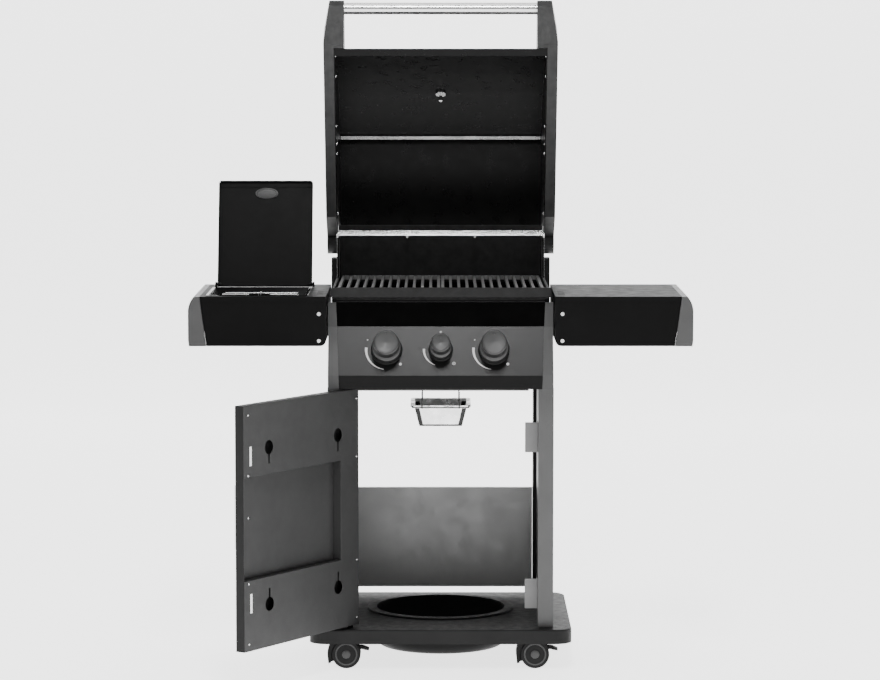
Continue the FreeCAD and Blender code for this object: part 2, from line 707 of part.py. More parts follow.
sizes([
    ("manifold_y", "=front + 30", "axis of the gas manifold"),
    ("manifold_z", 730, "axis of the gas manifold"),
    ("manifold_radius", 7, "radius of the gas manifold"),
    ("inlet_x", 198, "gas inlet, from the middle"),
    ("inlet_radius", 7.9, "radius of the gas inlet's thread"),
    ("inlet_low", 694, "lower end of the gas inlet"),
])


def gas_manifold():
    tube = rod("manifold_tube", "manifold_radius", "x", "-158", "inlet_x + 8", "manifold_y", "manifold_z")
    nut = rod("inlet_nut", "inlet_radius + 3", "z", "inlet_low + 24", "manifold_z + 6", "inlet_x",
              "manifold_y")
    thread = rod("inlet_thread", "inlet_radius", "z", "inlet_low", "inlet_low + 25", "inlet_x",
                 "manifold_y")
    bore = rod("inlet_bore", "4", "z", "inlet_low - 1", "manifold_z", "inlet_x", "manifold_y")
    keep("gas_manifold", cut("gas_manifold_part", fuse("manifold_solid", tube, nut, thread), bore))


# ---- drip tray and foil pan
sizes([
    ("tray_half", 230, "half width of the drip tray's flange"),
    ("tray_low", 664, "underside of the drip tray"),
    ("tray_top", 688, "top of the drip tray"),
    ("tray_front", "=front + 182", "front of the drip tray"),
    ("tray_rear", "=front + 438", "rear of the drip tray"),
    ("pan_y", "=front + 250", "middle of the foil pan"),
    ("pan_low", 576, "underside of the foil pan"),
    ("pan_top", 629, "rim of the foil pan"),
    ("pan_rim_x", 75, "half width of the foil pan's rim"),
    ("pan_rim_y", 92, "half depth of the foil pan's rim"),
    ("foil", 1, "thickness of the foil pan"),
    ("hanger_wire", 1.5, "radius of the pan hanger's uprights and ends"),
    ("link_wire", 1.35, "radius of the pan hanger's sides and links"),
    ("hanger_x", 46, "hanger's upright wires, from the middle"),
])


def drip_tray():
    x = ("-runner_in + 3", "runner_in - 3")
    y = ("tray_front", "tray_rear")
    outside = block("tray_outside", x, y, ("tray_low", "tray_top"))
    inside = block("tray_inside", ("-runner_in + 4.5", "runner_in - 4.5"),
                   ("tray_front + sheet", "tray_rear - sheet"), ("tray_low + sheet", "tray_top + 1"))
    flange_z = ("runner_low + 2.4", "runner_low + 3.9")
    flanges = [
        block("tray_right_flange", ("runner_in - 4.5", "tray_half"), y, flange_z),
        block("tray_left_flange", ("-tray_half", "-runner_in + 4.5"), y, flange_z),
    ]
    shell = cut("tray_shell", outside, inside)
    drain = rod("tray_drain", "22", "z", "tray_low - 1", "tray_top", "0", "pan_y")
    keep("drip_tray", cut("drip_tray_part", fuse("tray_with_flanges", shell, *flanges), drain))


def pan_hanger():
    """A wire ring under the pan's rim, on four upright wires. Wires that meet differ in
    thickness, so that their surfaces cross cleanly."""
    z = "pan_top - 3 - hanger_wire - 0.4"
    x_out = "(pan_rim_x - 5)"
    y_in = "(pan_rim_y - 4)"
    y_out = "(pan_rim_y + 3.5)"
    parts = []
    for end, sign in (("front", "-"), ("rear", "+")):
        line = "pan_y %s %s" % (sign, y_in)
        far = "pan_y %s %s" % (sign, y_out)
        side = "%s%s" % ("-" if sign == "-" else "", x_out)
        across = ("-%s - hanger_wire" % x_out, "%s + hanger_wire" % x_out)
        parts.append(rod("hanger_side_" + end, "link_wire", "y", "pan_y - " + y_in, "pan_y + " + y_in, side,
                         z))
        parts.append(rod("hanger_end_" + end, "hanger_wire", "x", *across, line, z))
        span = (far, line) if sign == "-" else (line, far)
        for turn, x in (("left", "-hanger_x"), ("right", "hanger_x")):
            name = "hanger_%s_%s" % (end, turn)
            parts.append(rod(name + "_link", "link_wire", "y", *span, x, z))
            parts.append(rod(name + "_upright", "hanger_wire", "z", z + " - link_wire - 0.3", "tray_low", x,
                             far))
    keep("pan_hanger", fuse("pan_hanger_part", *parts))


def foil_pan():
    def taper(name, inset, low, high):
        top_x = "pan_rim_x - 9 - %s" % inset
        top_y = "pan_rim_y - 9 - %s" % inset
        low_x, low_y = "pan_rim_x - 22 - %s" % inset, "pan_rim_y - 22 - %s" % inset
        return wedge(name, ("-(%s)" % low_x, low_x), ("pan_y - (%s)" % low_y, "pan_y + %s" % low_y),
                     (low, high),
                     ("-(%s)" % top_x, top_x), ("pan_y - (%s)" % top_y, "pan_y + %s" % top_y))
    outside = taper("pan_outside", "0", "pan_low", "pan_top")
    inside = taper("pan_inside", "foil", "pan_low + foil", "pan_top + 0.2")
    rim = block("pan_rim", ("-pan_rim_x", "pan_rim_x"), ("pan_y - pan_rim_y", "pan_y + pan_rim_y"),
                ("pan_top - 3", "pan_top"))
    rim = rounded("pan_rim_corners", rim, "12", along("z"))
    keep("foil_pan", cut("foil_pan_part", fuse("pan_with_rim", outside, rim), inside))


# ---- side shelves and side burner
sizes([
    ("shelf_in", 277, "inner end of a shelf"),
    ("shelf_out", 610, "outer end of a shelf"),
    ("shelf_low", 796, "lower edge of a shelf's fascia"),
    ("shelf_front", "=front - 40", "front of the shelves"),
    ("shelf_rear", "=front + 359", "rear of the shelves"),
    ("lip_tall", 13, "height of the shelf's front lip"),
    ("cap_top_wide", 28, "width of an end cap's front at its top"),
    ("cap_low_wide", 44, "width of an end cap's front at its foot"),
    ("recess_in", 325, "inner side of the side burner's recess"),
    ("recess_out", 565, "outer side of the side burner's recess"),
    ("recess_front", "=front - 14", "front of the side burner's recess"),
    ("recess_rear", "=front + 248", "rear of the side burner's recess"),
    ("side_x", -445, "middle of the side burner"),
    ("side_y", "=front + 117", "middle of the side burner"),
    ("flap_out", 557, "outer side of the side burner's lid"),
    ("flap_in", 321, "inner side of the side burner's lid"),
    ("flap_long", 266, "length of the side burner's lid"),
    ("flap_hinge_y", "=front + 249", "hinge line of the side burner's lid"),
    ("flap_hinge_z", 925, "hinge line of the side burner's lid"),
    ("flap_open", 108, "opening of the side burner's lid, degrees"),
    ("flap_round", 6, "half height of the side burner's lid"),
    ("small_pin", 3, "radius of the small hinge pins"),
])


def shelf_shell(name, side):
    """The folded shelf, drawn on the right; its lower inner corner is rounded."""
    out_top, out_low = "shelf_out - cap_top_wide", "shelf_out - cap_low_wide"
    face = [("shelf_in", "shelf_low"), (out_low, "shelf_low"), (out_top, "shelf_top"),
            ("shelf_in", "shelf_top")]
    solid = prism(name + "_solid", "y", face, "shelf_front + 2", "shelf_rear")
    solid_round = rounded(name + "_corner", solid, "14", lambda e: along("y")(e) and
                          abs(e.BoundBox.ZMax - number("shelf_low")) < 1e-6 and
                          abs(e.BoundBox.XMin - number("shelf_in")) < 1e-6)
    inner = [("shelf_in + sheet", "shelf_low - 9"), ("%s - sheet" % out_low, "shelf_low - 9"),
             ("%s - sheet" % out_top, "shelf_top - sheet"), ("shelf_in + sheet", "shelf_top - sheet")]
    hollow = prism(name + "_hollow", "y", inner, "shelf_front + 2 + sheet", "shelf_rear - sheet")
    lip_y = ("shelf_front", "shelf_front + 3")
    lip = block(name + "_lip", ("shelf_in", "%s - 2" % out_top), lip_y,
                ("shelf_top - lip_tall", "shelf_top"))
    holes = []
    for i in range(4):
        y = "front + 20 + %d * 34" % i
        holes.append(block("%s_slot_%d" % (name, i), ("shelf_in + 9", "shelf_in + 25"), (y, y + " + 7"),
                           ("shelf_top - 4", "shelf_top + 1")))
    if side == "left":
        holes.append(block(name + "_recess", ("recess_in", "recess_out"), ("recess_front", "recess_rear"),
                           ("shelf_top - 4", "shelf_top + 1")))
    shell = cut(name + "_shell", solid_round, hollow)
    return cut(name + "_part", fuse(name + "_folded", shell, lip), *holes)


def side_shelves():
    keep("right_side_shelf", shelf_shell("right_shelf", "right"))
    keep("left_side_shelf", mirrored("left_shelf_mirror", shelf_shell("left_shelf", "left")))


def shelf_end_caps():
    out_top, out_low = "shelf_out - cap_top_wide + 0.2", "shelf_out - cap_low_wide + 0.2"
    face = [(out_low, "shelf_low"), ("shelf_out - 2", "shelf_low"), ("shelf_out", "shelf_low + 14"),
            ("shelf_out", "shelf_top - 34", "-60"), ("shelf_out - 14", "shelf_top"), (out_top, "shelf_top")]
    solid = prism("end_cap_solid", "y", face, "shelf_front - 2", "shelf_rear + 2")
    inner = [("%s - 5" % out_low, "shelf_low - 9"), ("shelf_out - 4", "shelf_low - 9"),
             ("shelf_out - 4", "shelf_top - 36"), ("shelf_out - 16", "shelf_top - 4"), ("%s - 5" % out_top,
                     "shelf_top - 4")]
    hollow = prism("end_cap_hollow", "y", inner, "shelf_front + 3", "shelf_rear - 3")
    sides("right_shelf_end_cap", "left_shelf_end_cap", cut("end_cap_part", solid, hollow))


def shelf_screws():
    heads = []
    for side, x in (("right", "shelf_in + 17"), ("left", "-shelf_in - 17")):
        for k, z in enumerate(("shelf_top - 42", "shelf_top - 107")):
            name = "%s_screw_%d" % (side, k)
            heads.append(rod(name, "4.5", "y", "shelf_front - 1", "shelf_front + 2", x, z))
    keep("shelf_screws", group("shelf_screws_group", *heads))


def side_burner_bowl():
    outer_x, outer_y = ("-recess_out + 1", "-recess_in - 1"), ("recess_front + 1", "recess_rear - 1")
    low_x, low_y = ("-recess_out + 26", "-recess_in - 26"), ("recess_front + 26", "recess_rear - 26")
    outside = wedge("bowl_outside", low_x, low_y, ("864", "shelf_top"), outer_x, outer_y)
    inner_x, inner_y = ("-recess_out + 3", "-recess_in - 3"), ("recess_front + 3", "recess_rear - 3")
    low_in_x, low_in_y = ("-recess_out + 28", "-recess_in - 28"), ("recess_front + 28", "recess_rear - 28")
    inside = wedge("bowl_inside", low_in_x, low_in_y, ("866", "shelf_top + 2.2"), inner_x, inner_y)
    rim = block("bowl_rim", ("-recess_out - 4", "-recess_in + 4"), ("recess_front - 4", "recess_rear"),
                ("shelf_top", "shelf_top + 1.5"))
    mouth = rod("bowl_mouth", "14", "z", "850", "880", "side_x", "side_y")
    keep("side_burner_bowl", cut("bowl_part", fuse("bowl_solid", outside, rim), inside, mouth))


def side_burner_head():
    section = [("0", "858"), ("12", "858"), ("12", "878"), ("34", "880"), ("34", "892"), ("28", "894"),
               ("28", "897"), ("22", "900"), ("0", "901")]
    keep("side_burner_head", put(turned("burner_head_part", section), "side_x", "side_y", "0"))


def pot_support():
    half_x, half_y = "92", "100"
    z = "shelf_top - 12"
    wire = "3"
    parts = []
    for i, sign in enumerate(("-", "+")):
        parts.append(rod("support_x_%d" % i, wire, "x", "side_x - %s" % half_x, "side_x + %s" % half_x,
                         "side_y %s %s" % (sign, half_y), z))
        parts.append(rod("support_y_%d" % i, wire, "y", "side_y - %s" % half_y, "side_y + %s" % half_y,
                         "side_x %s %s" % (sign, half_x), z))
        ends = ("side_x - %s" % half_x, "side_x - 26") if sign == "-" else ("side_x + 26",
                "side_x + %s" % half_x)
        parts.append(rod("finger_x_%d" % i, wire, "x", ends[0], ends[1], "side_y", z + " + 4"))
        ends = ("side_y - %s" % half_y, "side_y - 26") if sign == "-" else ("side_y + 26",
                "side_y + %s" % half_y)
        parts.append(rod("finger_y_%d" % i, wire, "y", ends[0], ends[1], "side_x", z + " + 4"))
    for i, (x, y) in enumerate(((-1, -1), (1, -1), (-1, 1), (1, 1))):
        parts.append(rod("support_leg_%d" % i, wire, "z", "866.3", z,
                         "side_x %+d * (%s - 22)" % (x, half_x),
                         "side_y %+d * (%s)" % (y, half_y)))
    keep("pot_support", fuse("pot_support_part", *parts))


def side_burner_lid():
    x = ("-flap_out", "-flap_in")
    y = ("flap_hinge_y - flap_long", "flap_hinge_y + flap_round")
    z = ("flap_hinge_z - flap_round", "flap_hinge_z + flap_round")
    outside = block("flap_outside", x, y, z)
    rear = number("flap_hinge_y")
    soft = rounded("flap_rear", outside, "flap_round - 0.05",
                   lambda e: along("x")(e) and e.BoundBox.YMin > rear)
    soft = rounded("flap_corners", soft, "flap_round", lambda e: along("z")(e) and e.BoundBox.YMax < rear)
    inner_y = ("flap_hinge_y - flap_long + 1.2", "flap_hinge_y + flap_round - 1.2")
    inside = block("flap_inside", ("-flap_out + 1.2", "-flap_in - 1.2"), inner_y,
                   ("flap_hinge_z - flap_round - 1", "flap_hinge_z + flap_round - 1.2"))
    pin = rod("flap_pin_hole", "small_pin + fit_gap", "x", "-flap_out - 1", "-flap_in + 1",
              "flap_hinge_y", "flap_hinge_z")
    part = cut("flap_part", soft, inside, pin)
    keep("side_burner_lid", swing(part, V(1, 0, 0), "-flap_open", "flap_hinge_y", "flap_hinge_z"))


# ---- door
sizes([
    ("door_half", 232, "half width of the door"),
    ("door_deep", 25, "thickness of the door"),
    ("door_low", 110, "lower edge of the door"),
    ("door_high", 688, "upper edge of the door"),
    ("door_pin_x", -221, "hinge line of the door"),
    ("door_pin_y", "=front + 7", "hinge line of the door"),
    ("door_open", 123.6, "opening of the door, degrees"),
    ("plate_low_top", 277, "top of the door's lower inner plate"),
    ("plate_high_low", 520, "foot of the door's upper inner plate"),
    ("strip_wide", 75, "width of the strip beside the hinge"),
    ("door_skin", 1.2, "thickness of the door's sheets"),
    ("key_radius", 16.5, "radius of a keyhole in the inner plates"),
    ("key_first", 86, "first keyholes, from the hinge edge"),
    ("key_second", 365, "second keyholes, from the hinge edge"),
    ("key_low_z", 212, "lower keyholes"),
    ("key_high_z", 583, "upper keyholes"),
    ("pull_x", 182, "door pull, from the middle"),
    ("pull_z", 419, "middle of the door pull"),
])


def swing_door(item):
    return swing(item, V(0, 0, 1), "-door_open", "door_pin_y", "0", "door_pin_x")


def door_panel():
    x = ("-door_half", "door_half")
    outside = block("door_outside", x, ("front", "front + door_deep - door_skin"),
                    ("door_low", "door_high"))
    inside = block("door_inside", ("-door_half + door_skin", "door_half - door_skin"),
                   ("front + door_skin", "front + door_deep"),
                   ("door_low + door_skin", "door_high - door_skin"))
    holes = rod("door_pin_holes", "small_pin + fit_gap", "z", "door_low - 1", "door_high + 1", "door_pin_x",
                "door_pin_y")
    screw = rod("pull_screw_hole", "3", "y", "front - 1", "front + 4", "pull_x", "pull_z")
    keep("door_panel", swing_door(cut("door_panel_part", outside, inside, holes, screw)))


def door_inner_plates():
    y = ("front + door_deep - door_skin + 0.05", "front + door_deep")
    x = ("-door_half", "door_half")
    upper = block("upper_plate", x, y, ("plate_high_low", "door_high"))
    lower = block("lower_plate", x, y, ("door_low", "plate_low_top"))
    strip = block("hinge_strip", ("-door_half", "-door_half + strip_wide"), y,
                  ("plate_low_top - 1", "plate_high_low + 1"))
    wall_y = ("front + door_skin + 0.4", "front + door_deep")
    wall_x = ("-door_half + strip_wide - door_skin", "-door_half + strip_wide")
    wall = block("strip_wall", wall_x, wall_y, ("plate_low_top - door_skin", "plate_high_low + door_skin"))
    low_wall = block("lower_wall", ("-door_half + strip_wide - door_skin", "door_half - 2"),
                     ("front + 10", "front + door_deep"), ("plate_low_top - door_skin", "plate_low_top"))
    keys = []
    for i, distance in enumerate(("key_first", "key_second")):
        for k, (z, turn) in enumerate((("key_low_z", "+"), ("key_high_z", "-"))):
            centre = "-door_half + %s" % distance
            keys.append(rod("key_%d%d" % (i, k), "key_radius", "y", "front + 20", "front + 30", centre, z))
            slot_z = (z, z + " + 38") if turn == "+" else (z + " - 38", z)
            keys.append(block("key_slot_%d%d" % (i, k), ("%s - 3" % centre, "%s + 3" % centre),
                              ("front + 20", "front + 30"), slot_z))
    part = cut("inner_plates_part", fuse("inner_plates_solid", upper, lower, strip, wall, low_wall), *keys)
    keep("door_inner_plates", swing_door(part))


def door_handle():
    post = rod("pull_post", "8", "y", "front - 26", "front", "pull_x", "pull_z")
    grip_x = ("pull_x - 9", "pull_x + 9")
    grip = block("pull_grip", grip_x, ("front - 36", "front - 25"), ("pull_z - 75", "pull_z + 75"))
    soft = rounded("pull_grip_soft", grip, "4.5", along("z"))
    keep("door_handle", swing_door(fuse("door_handle_part", post, soft)))


def hinge_pins():
    pins = []
    for side, low, high in (("right", "fire_half - fire_wall - 6", "284"),
                            ("left", "-284", "-fire_half + fire_wall + 6")):
        pins.append(rod(side + "_lid_pin", "lid_pin", "x", low, high, "lid_hinge_y", "lid_hinge_z"))
    flap_y, flap_z = "flap_hinge_y", "flap_hinge_z"
    for side, low, high in (("outer", "-flap_out - 6", "-flap_out + 8"),
                            ("inner", "-flap_in - 8", "-flap_in + 6")):
        pins.append(rod(side + "_flap_pin", "small_pin", "x", low, high, flap_y, flap_z))
    knuckles = []
    for side, x in (("outer", ("-flap_out - 6", "-flap_out - 1")),
                    ("inner", ("-flap_in + 1", "-flap_in + 6"))):
        knuckles.append(block(side + "_flap_ear", x, ("flap_hinge_y - 6", "flap_hinge_y + 6"),
                              ("shelf_top + 1.6", "flap_hinge_z + 5")))
    outer_flap = fuse("outer_flap_hinge", pins[2], knuckles[0])
    inner_flap = fuse("inner_flap_hinge", pins[3], knuckles[1])
    low_pin = rod("door_low_pin", "small_pin", "z", "base_top", "door_low + 4", "door_pin_x", "door_pin_y")
    low_foot = rod("door_low_foot", "7", "z", "base_top", "door_low - 1", "door_pin_x", "door_pin_y")
    high_pin = rod("door_high_pin", "small_pin", "z", "door_high - 5", "leg_top + 1", "door_pin_x",
                   "door_pin_y")
    bracket = block("door_high_bracket", ("-leg_in", "door_pin_x + 8"), ("front", "front + 16"),
                    ("leg_top - 1.5", "leg_top + 1"))
    keep("hinge_pins", group("hinge_pins_group", pins[0], pins[1], outer_flap, inner_flap,
                             fuse("door_low_hinge", low_pin, low_foot), fuse("door_high_hinge", high_pin,
                                     bracket)))


# ---- lid
sizes([
    ("lid_open", 68, "opening of the lid, degrees"),
    ("lip_y", "=front - 15", "closed lid's front edge"),
    ("lip_z", 940, "closed lid's front edge"),
    ("ridge_y", "=front + 364", "closed lid's ridge"),
    ("ridge_z", 1252, "closed lid's ridge"),
    ("tail_y", "=front + 578", "closed lid's rear edge"),
    ("tail_z", 1165, "closed lid's rear edge"),
    ("face_radius", 880, "curve of the lid's front"),
    ("tail_radius", 560, "curve of the lid's rear"),
    ("lid_half", 265.5, "outer half width of the lid's skin"),
    ("lid_skin", 2, "thickness of the lid's skin"),
    ("cap_in", 266, "inner side of the lid's end caps"),
    ("cap_out", 292, "outer side of the lid's end caps"),
    ("arm_in", 241, "inner side of the handle's arms"),
    ("arm_end", 277, "outer side of the arms at the handle"),
    ("handle_y", "=front - 92", "closed lid's handle"),
    ("handle_z", 1015, "closed lid's handle"),
    ("handle_radius", 15, "radius of the handle's tube"),
    ("boss_radius", 34, "radius of the end cap around its hinge"),
    ("dial_y", "=front + 191", "thermometer on the closed lid"),
    ("dial_z", 1153, "thermometer on the closed lid"),
    ("dial_tilt", 36.3, "thermometer's axis, degrees back from upright"),
])


def swing_lid(item):
    return swing(item, V(1, 0, 0), "-lid_open", "lid_hinge_y", "lid_hinge_z")


def lid_line(out):
    """The lid's curve from its front lip over the ridge to its rear edge, moved outwards."""
    return [
        ("lip_y - %s" % out, "lip_z", "face_radius"),
        ("ridge_y - %s * 0.2" % out, "ridge_z + %s" % out, "tail_radius"),
        ("tail_y + %s" % out, "tail_z"),
    ]


def lid_skin():
    outside = lid_line("0") + [
        ("tail_y", "lid_hinge_z - 26"), ("front + 500", "lid_hinge_z - 26"), ("front + 452", "lip_z"),
    ]
    inside = lid_line("-lid_skin")[:2] + [
        ("tail_y - lid_skin", "tail_z"), ("tail_y - lid_skin", "tail_z - 20"),
        ("tail_y - lid_skin", "lid_hinge_z - 40"), ("front + 400", "lip_z - 20"),
        ("lip_y + lid_skin", "lip_z - 20"),
    ]
    # Outline points run clockwise, so arcs that bulge outwards have a positive radius.
    within = ("-(lid_half - lid_skin)", "lid_half - lid_skin")
    shell = prism("lid_outside", "x", outside, "-lid_half", "lid_half")
    hollow = prism("lid_inside", "x", inside, *within)
    vent = block("lid_rear_vent", within, ("tail_y - 6", "tail_y + 6"), ("lid_hinge_z - 60", "tail_z - 2"))
    lip = block("lid_lip", ("-lid_half", "lid_half"), ("lip_y + 1", "lip_y + 20"),
                ("lip_z", "lip_z + lid_skin"))
    pins = rod("skin_pin_holes", "lid_pin + fit_gap", "x", "-300", "300", "lid_hinge_y", "lid_hinge_z")
    probe = slanted("skin_probe_hole", "6", "-30", "30")
    body = fuse("lid_shell_lipped", cut("lid_shell", shell, hollow, vent), lip)
    keep("lid_skin", swing_lid(cut("lid_skin_part", body, pins, probe)))


def slanted(name, radius, low, high):
    """A cylinder on the thermometer's axis, from low to high above the lid's skin."""
    item = doc.addObject("Part::Cylinder", name + "_rod")
    bind(item, Radius=radius, Height="(%s) - (%s)" % (high, low))
    put(item, "0", "0", low)
    return on_dial(group(name, item))


def on_dial(item):
    item.Placement = FreeCAD.Placement(V(), FreeCAD.Rotation(V(1, 0, 0), number("dial_tilt")))
    return put(item, "0", "dial_y", "dial_z")


def lid_end_caps():
    front_lip, ridge, tail = lid_line("12")
    around = [
        ("lip_y - 12", "lip_z - 3"), front_lip[:2] + ("face_radius + 12",), ridge[:2] + ("tail_radius + 12",),
        tail, ("lid_hinge_y + boss_radius", "lid_hinge_z", "boss_radius + 0.1"),
        ("lid_hinge_y", "lid_hinge_z - boss_radius", "boss_radius"),
        ("lid_hinge_y - 24", "lid_hinge_z - 24"), ("front + 446", "lip_z - 3"),
    ]
    plate = prism("cap_plate", "x", around, "cap_in", "cap_out")
    arm = [
        ("lip_y - 12", "lip_z - 3"), ("handle_y - 14", "handle_z - 18"), ("handle_y - 21", "handle_z", "30"),
        ("handle_y", "handle_z + 22"), ("front + 20", "handle_z + 14"), ("front + 20", "handle_z - 20"),
        ("lip_y - 3", "lip_z - 3"),
    ]
    arm_solid = prism("cap_arm", "x", arm, "arm_in", "cap_out")
    taper = [("cap_out + 1", "lip_y - 12"), ("arm_end", "handle_y - 24"), ("cap_out + 1", "handle_y - 24")]
    slice_off = prism("cap_arm_taper", "z", taper, "lip_z - 20", "handle_z + 60")
    clear = lid_clearance()
    inner_ridge = lid_line("5")[1]
    pocket = [
        ("lip_y + 20", "lip_z + 6"), ("lip_y + 2", "lip_z + 20", "face_radius"), inner_ridge,
        ("tail_y - 2", "tail_z"), ("lid_hinge_y + 22", "lid_hinge_z + 42"),
        ("lid_hinge_y - 40", "lid_hinge_z + 30"), ("front + 440", "lip_z + 6"),
    ]
    pocket_solid = prism("cap_pocket", "x", pocket, "cap_in - 1", "cap_out - 4")
    pin = rod("cap_pin_hole", "lid_pin + fit_gap", "x", "cap_in - 1", "285", "lid_hinge_y", "lid_hinge_z")
    bar = rod("cap_bar_seat", "handle_radius", "x", "arm_in - 1", "arm_in + 6", "handle_y", "handle_z")
    cap = cut("cap_part", fuse("cap_solid", plate, arm_solid), slice_off, clear, pocket_solid, pin, bar)
    keep("lid_end_cap_right", swing_lid(group("cap_right", cap)))
    keep("lid_end_cap_left", swing_lid(group("cap_left", mirrored("cap_left_mirror", cap))))


def lid_clearance():
    """The space of the lid's skin, which the arms stay out of."""
    front_lip, ridge, tail = lid_line("0.3")
    shape = [
        front_lip, ridge, tail, ("tail_y", "lid_hinge_z"), ("front + 452", "lip_z - 20"),
        ("lip_y - 0.3", "lip_z - 20"),
    ]
    return prism("lid_space", "x", shape, "0", "cap_in")


def lid_handle():
    tube = rod("handle_tube", "handle_radius - fit_gap", "x", "-arm_in - 5", "arm_in + 5", "handle_y",
               "handle_z")
    bore = rod("handle_bore", "handle_radius - 1.5", "x", "-arm_in - 6", "arm_in + 6", "handle_y",
               "handle_z")
    keep("lid_handle", swing_lid(cut("lid_handle_part", tube, bore)))


def thermometer():
    case = turned("dial_case_solid", [("0", "0.3"), ("38", "0.3"), ("40", "4"), ("40", "13"), ("37", "15"),
                                      ("36", "15"), ("36", "9"), ("0", "9")])
    stem = doc.addObject("Part::Cylinder", "dial_stem")
    bind(stem, Radius="4.5", Height="30")
    put(stem, "0", "0", "-28")
    nut = doc.addObject("Part::Cylinder", "dial_nut")
    bind(nut, Radius="12.5", Height="6")
    put(nut, "0", "0", "-9")
    body = fuse("thermometer_solid", case, stem, nut)
    post = doc.addObject("Part::Cylinder", "dial_post_bore")
    bind(post, Radius="1 + fit_gap", Height="5")
    put(post, "0", "0", "5")
    keep("thermometer_case", dial_piece(cut("thermometer_part", body, post)))
    pointer = [("-1.6", "-8"), ("1.6", "-8"), ("0.6", "30"), ("-0.6", "30")]
    hand = prism("dial_hand", "z", pointer, "11", "11.8")
    hand.Placement = FreeCAD.Placement(V(), FreeCAD.Rotation(V(0, 0, 1), 135))
    axle = doc.addObject("Part::Cylinder", "dial_axle")
    bind(axle, Radius="1", Height="6.5")
    put(axle, "0", "0", "6")
    keep("thermometer_needle", dial_piece(fuse("needle_part", hand, axle)))


def dial_piece(item):
    """Stand a piece on the thermometer's axis and open it with the lid."""
    return swing_lid(group(item.Name + "_lid", on_dial(item)))


# ---- casters
sizes([
    ("wheel_radius", 35, "radius of a caster's wheels"),
    ("wheel_wide", 15, "width of one wheel"),
    ("web_half", 5, "half thickness of a caster's web"),
    ("axle_radius", 3, "radius of a caster's axle"),
    ("lever_x", 20, "lever's pivot ahead of the axle"),
    ("lever_z", 51, "height of the lever's pivot"),
    ("hood_radius", 47, "radius of the caster's hood behind the wheels"),
    ("hood_top", 72, "top of the caster's hood, inside the tray"),
])


def caster(name, x, y, has_lever):
    axle = "wheel_radius"
    stem_x = "%s - caster_trail" % x
    hood = [
        ("%s - 30" % x, "hood_top"), ("%s - 46" % x, "axle - 4"), ("%s - 44" % x, "12"),
        ("%s - 34" % x, "15"), ("%s - 12" % x, "22"), ("%s + 12" % x, "22"), ("%s + 26" % x, "56"),
        ("%s + 22" % x, "hood_top"),
    ]
    hood = [(a, b.replace("axle", axle)) for a, b in hood]
    hood[0] += ("-hood_radius",)
    web = prism(name + "_web", "y", hood, "%s - web_half" % y, "%s + web_half" % y)
    cover_points = [
        ("%s - 30" % x, "hood_top", "-hood_radius"), ("%s - 46" % x, "wheel_radius - 4"),
        ("%s - 44" % x, "12"), ("%s - 37.5" % x, "14"), ("%s - 37.5" % x, "wheel_radius"), ("%s - 27" % x,
                "61"),
        ("%s - 26" % x, "hood_top"),
    ]
    cover = prism(name + "_cover", "y", cover_points, "%s - 20" % y, "%s + 20" % y)
    stem = rod(name + "_stem", "stem_radius", "z", "hood_top - 2", "stem_top", stem_x, y)
    disc = rod(name + "_plate", "12", "z", "hood_top - 4", "socket_low - 0.5", stem_x, y)
    bore = rod(name + "_axle_bore", "axle_radius + fit_gap", "y", "%s - 9" % y, "%s + 9" % y, x, axle)
    trim = rod(name + "_wheel_room", "wheel_radius + 1", "y", "%s - 30" % y, "%s - web_half - 1" % y, x,
               axle)
    trim_far = rod(name + "_wheel_room_far", "wheel_radius + 1", "y", "%s + web_half + 1" % y,
                   "%s + 30" % y, x, axle)
    solids = [web, cover, stem, disc]
    if has_lever:
        solids.append(rod(name + "_lever_pin", "2", "y", "%s - web_half - 2.2" % y,
                          "%s + web_half + 2.2" % y,
                          "%s + lever_x" % x, "lever_z"))
        tools = [bore, trim_cut(name, x, y, trim, trim_far)]
    else:
        tools = [bore, fuse(name + "_room", trim, trim_far)]
    keep(name, cut(name + "_part", fuse(name + "_solid", *solids), *tools))
    wheels = []
    for side, sign in (("near", -1), ("far", 1)):
        inner = "%s %s (web_half + 2.5)" % (y, "+" if sign > 0 else "-")
        outer = "%s %s (web_half + 2.5 + wheel_wide)" % (y, "+" if sign > 0 else "-")
        span = (inner, outer) if sign > 0 else (outer, inner)
        wheels.append(rod("%s_%s_wheel" % (name, side), "wheel_radius", "y", span[0], span[1], x, axle))
    shaft = rod(name + "_axle", "axle_radius", "y", "%s - web_half - 3" % y, "%s + web_half + 3" % y, x,
                axle)
    raw = fuse(name + "_wheels_raw", shaft, *wheels)
    rim = number("wheel_radius")
    soft = rounded(name + "_wheels_part", raw, "2.5", lambda e: abs(e.BoundBox.ZLength - 2 * rim) < 1e-3 and
                   e.BoundBox.YLength < 1e-3)
    keep(name + "_wheels", soft)
    if has_lever:
        keep(name + "_brake_lever", brake_lever(name, x, y))


def trim_cut(name, x, y, trim, trim_far):
    """Room for the wheels that leaves the lever's pin standing."""
    post = rod(name + "_pin_guard", "2", "y", "%s - 31" % y, "%s + 31" % y, "%s + lever_x" % x, "lever_z")
    return cut(name + "_room", fuse(name + "_room_both", trim, trim_far), post)


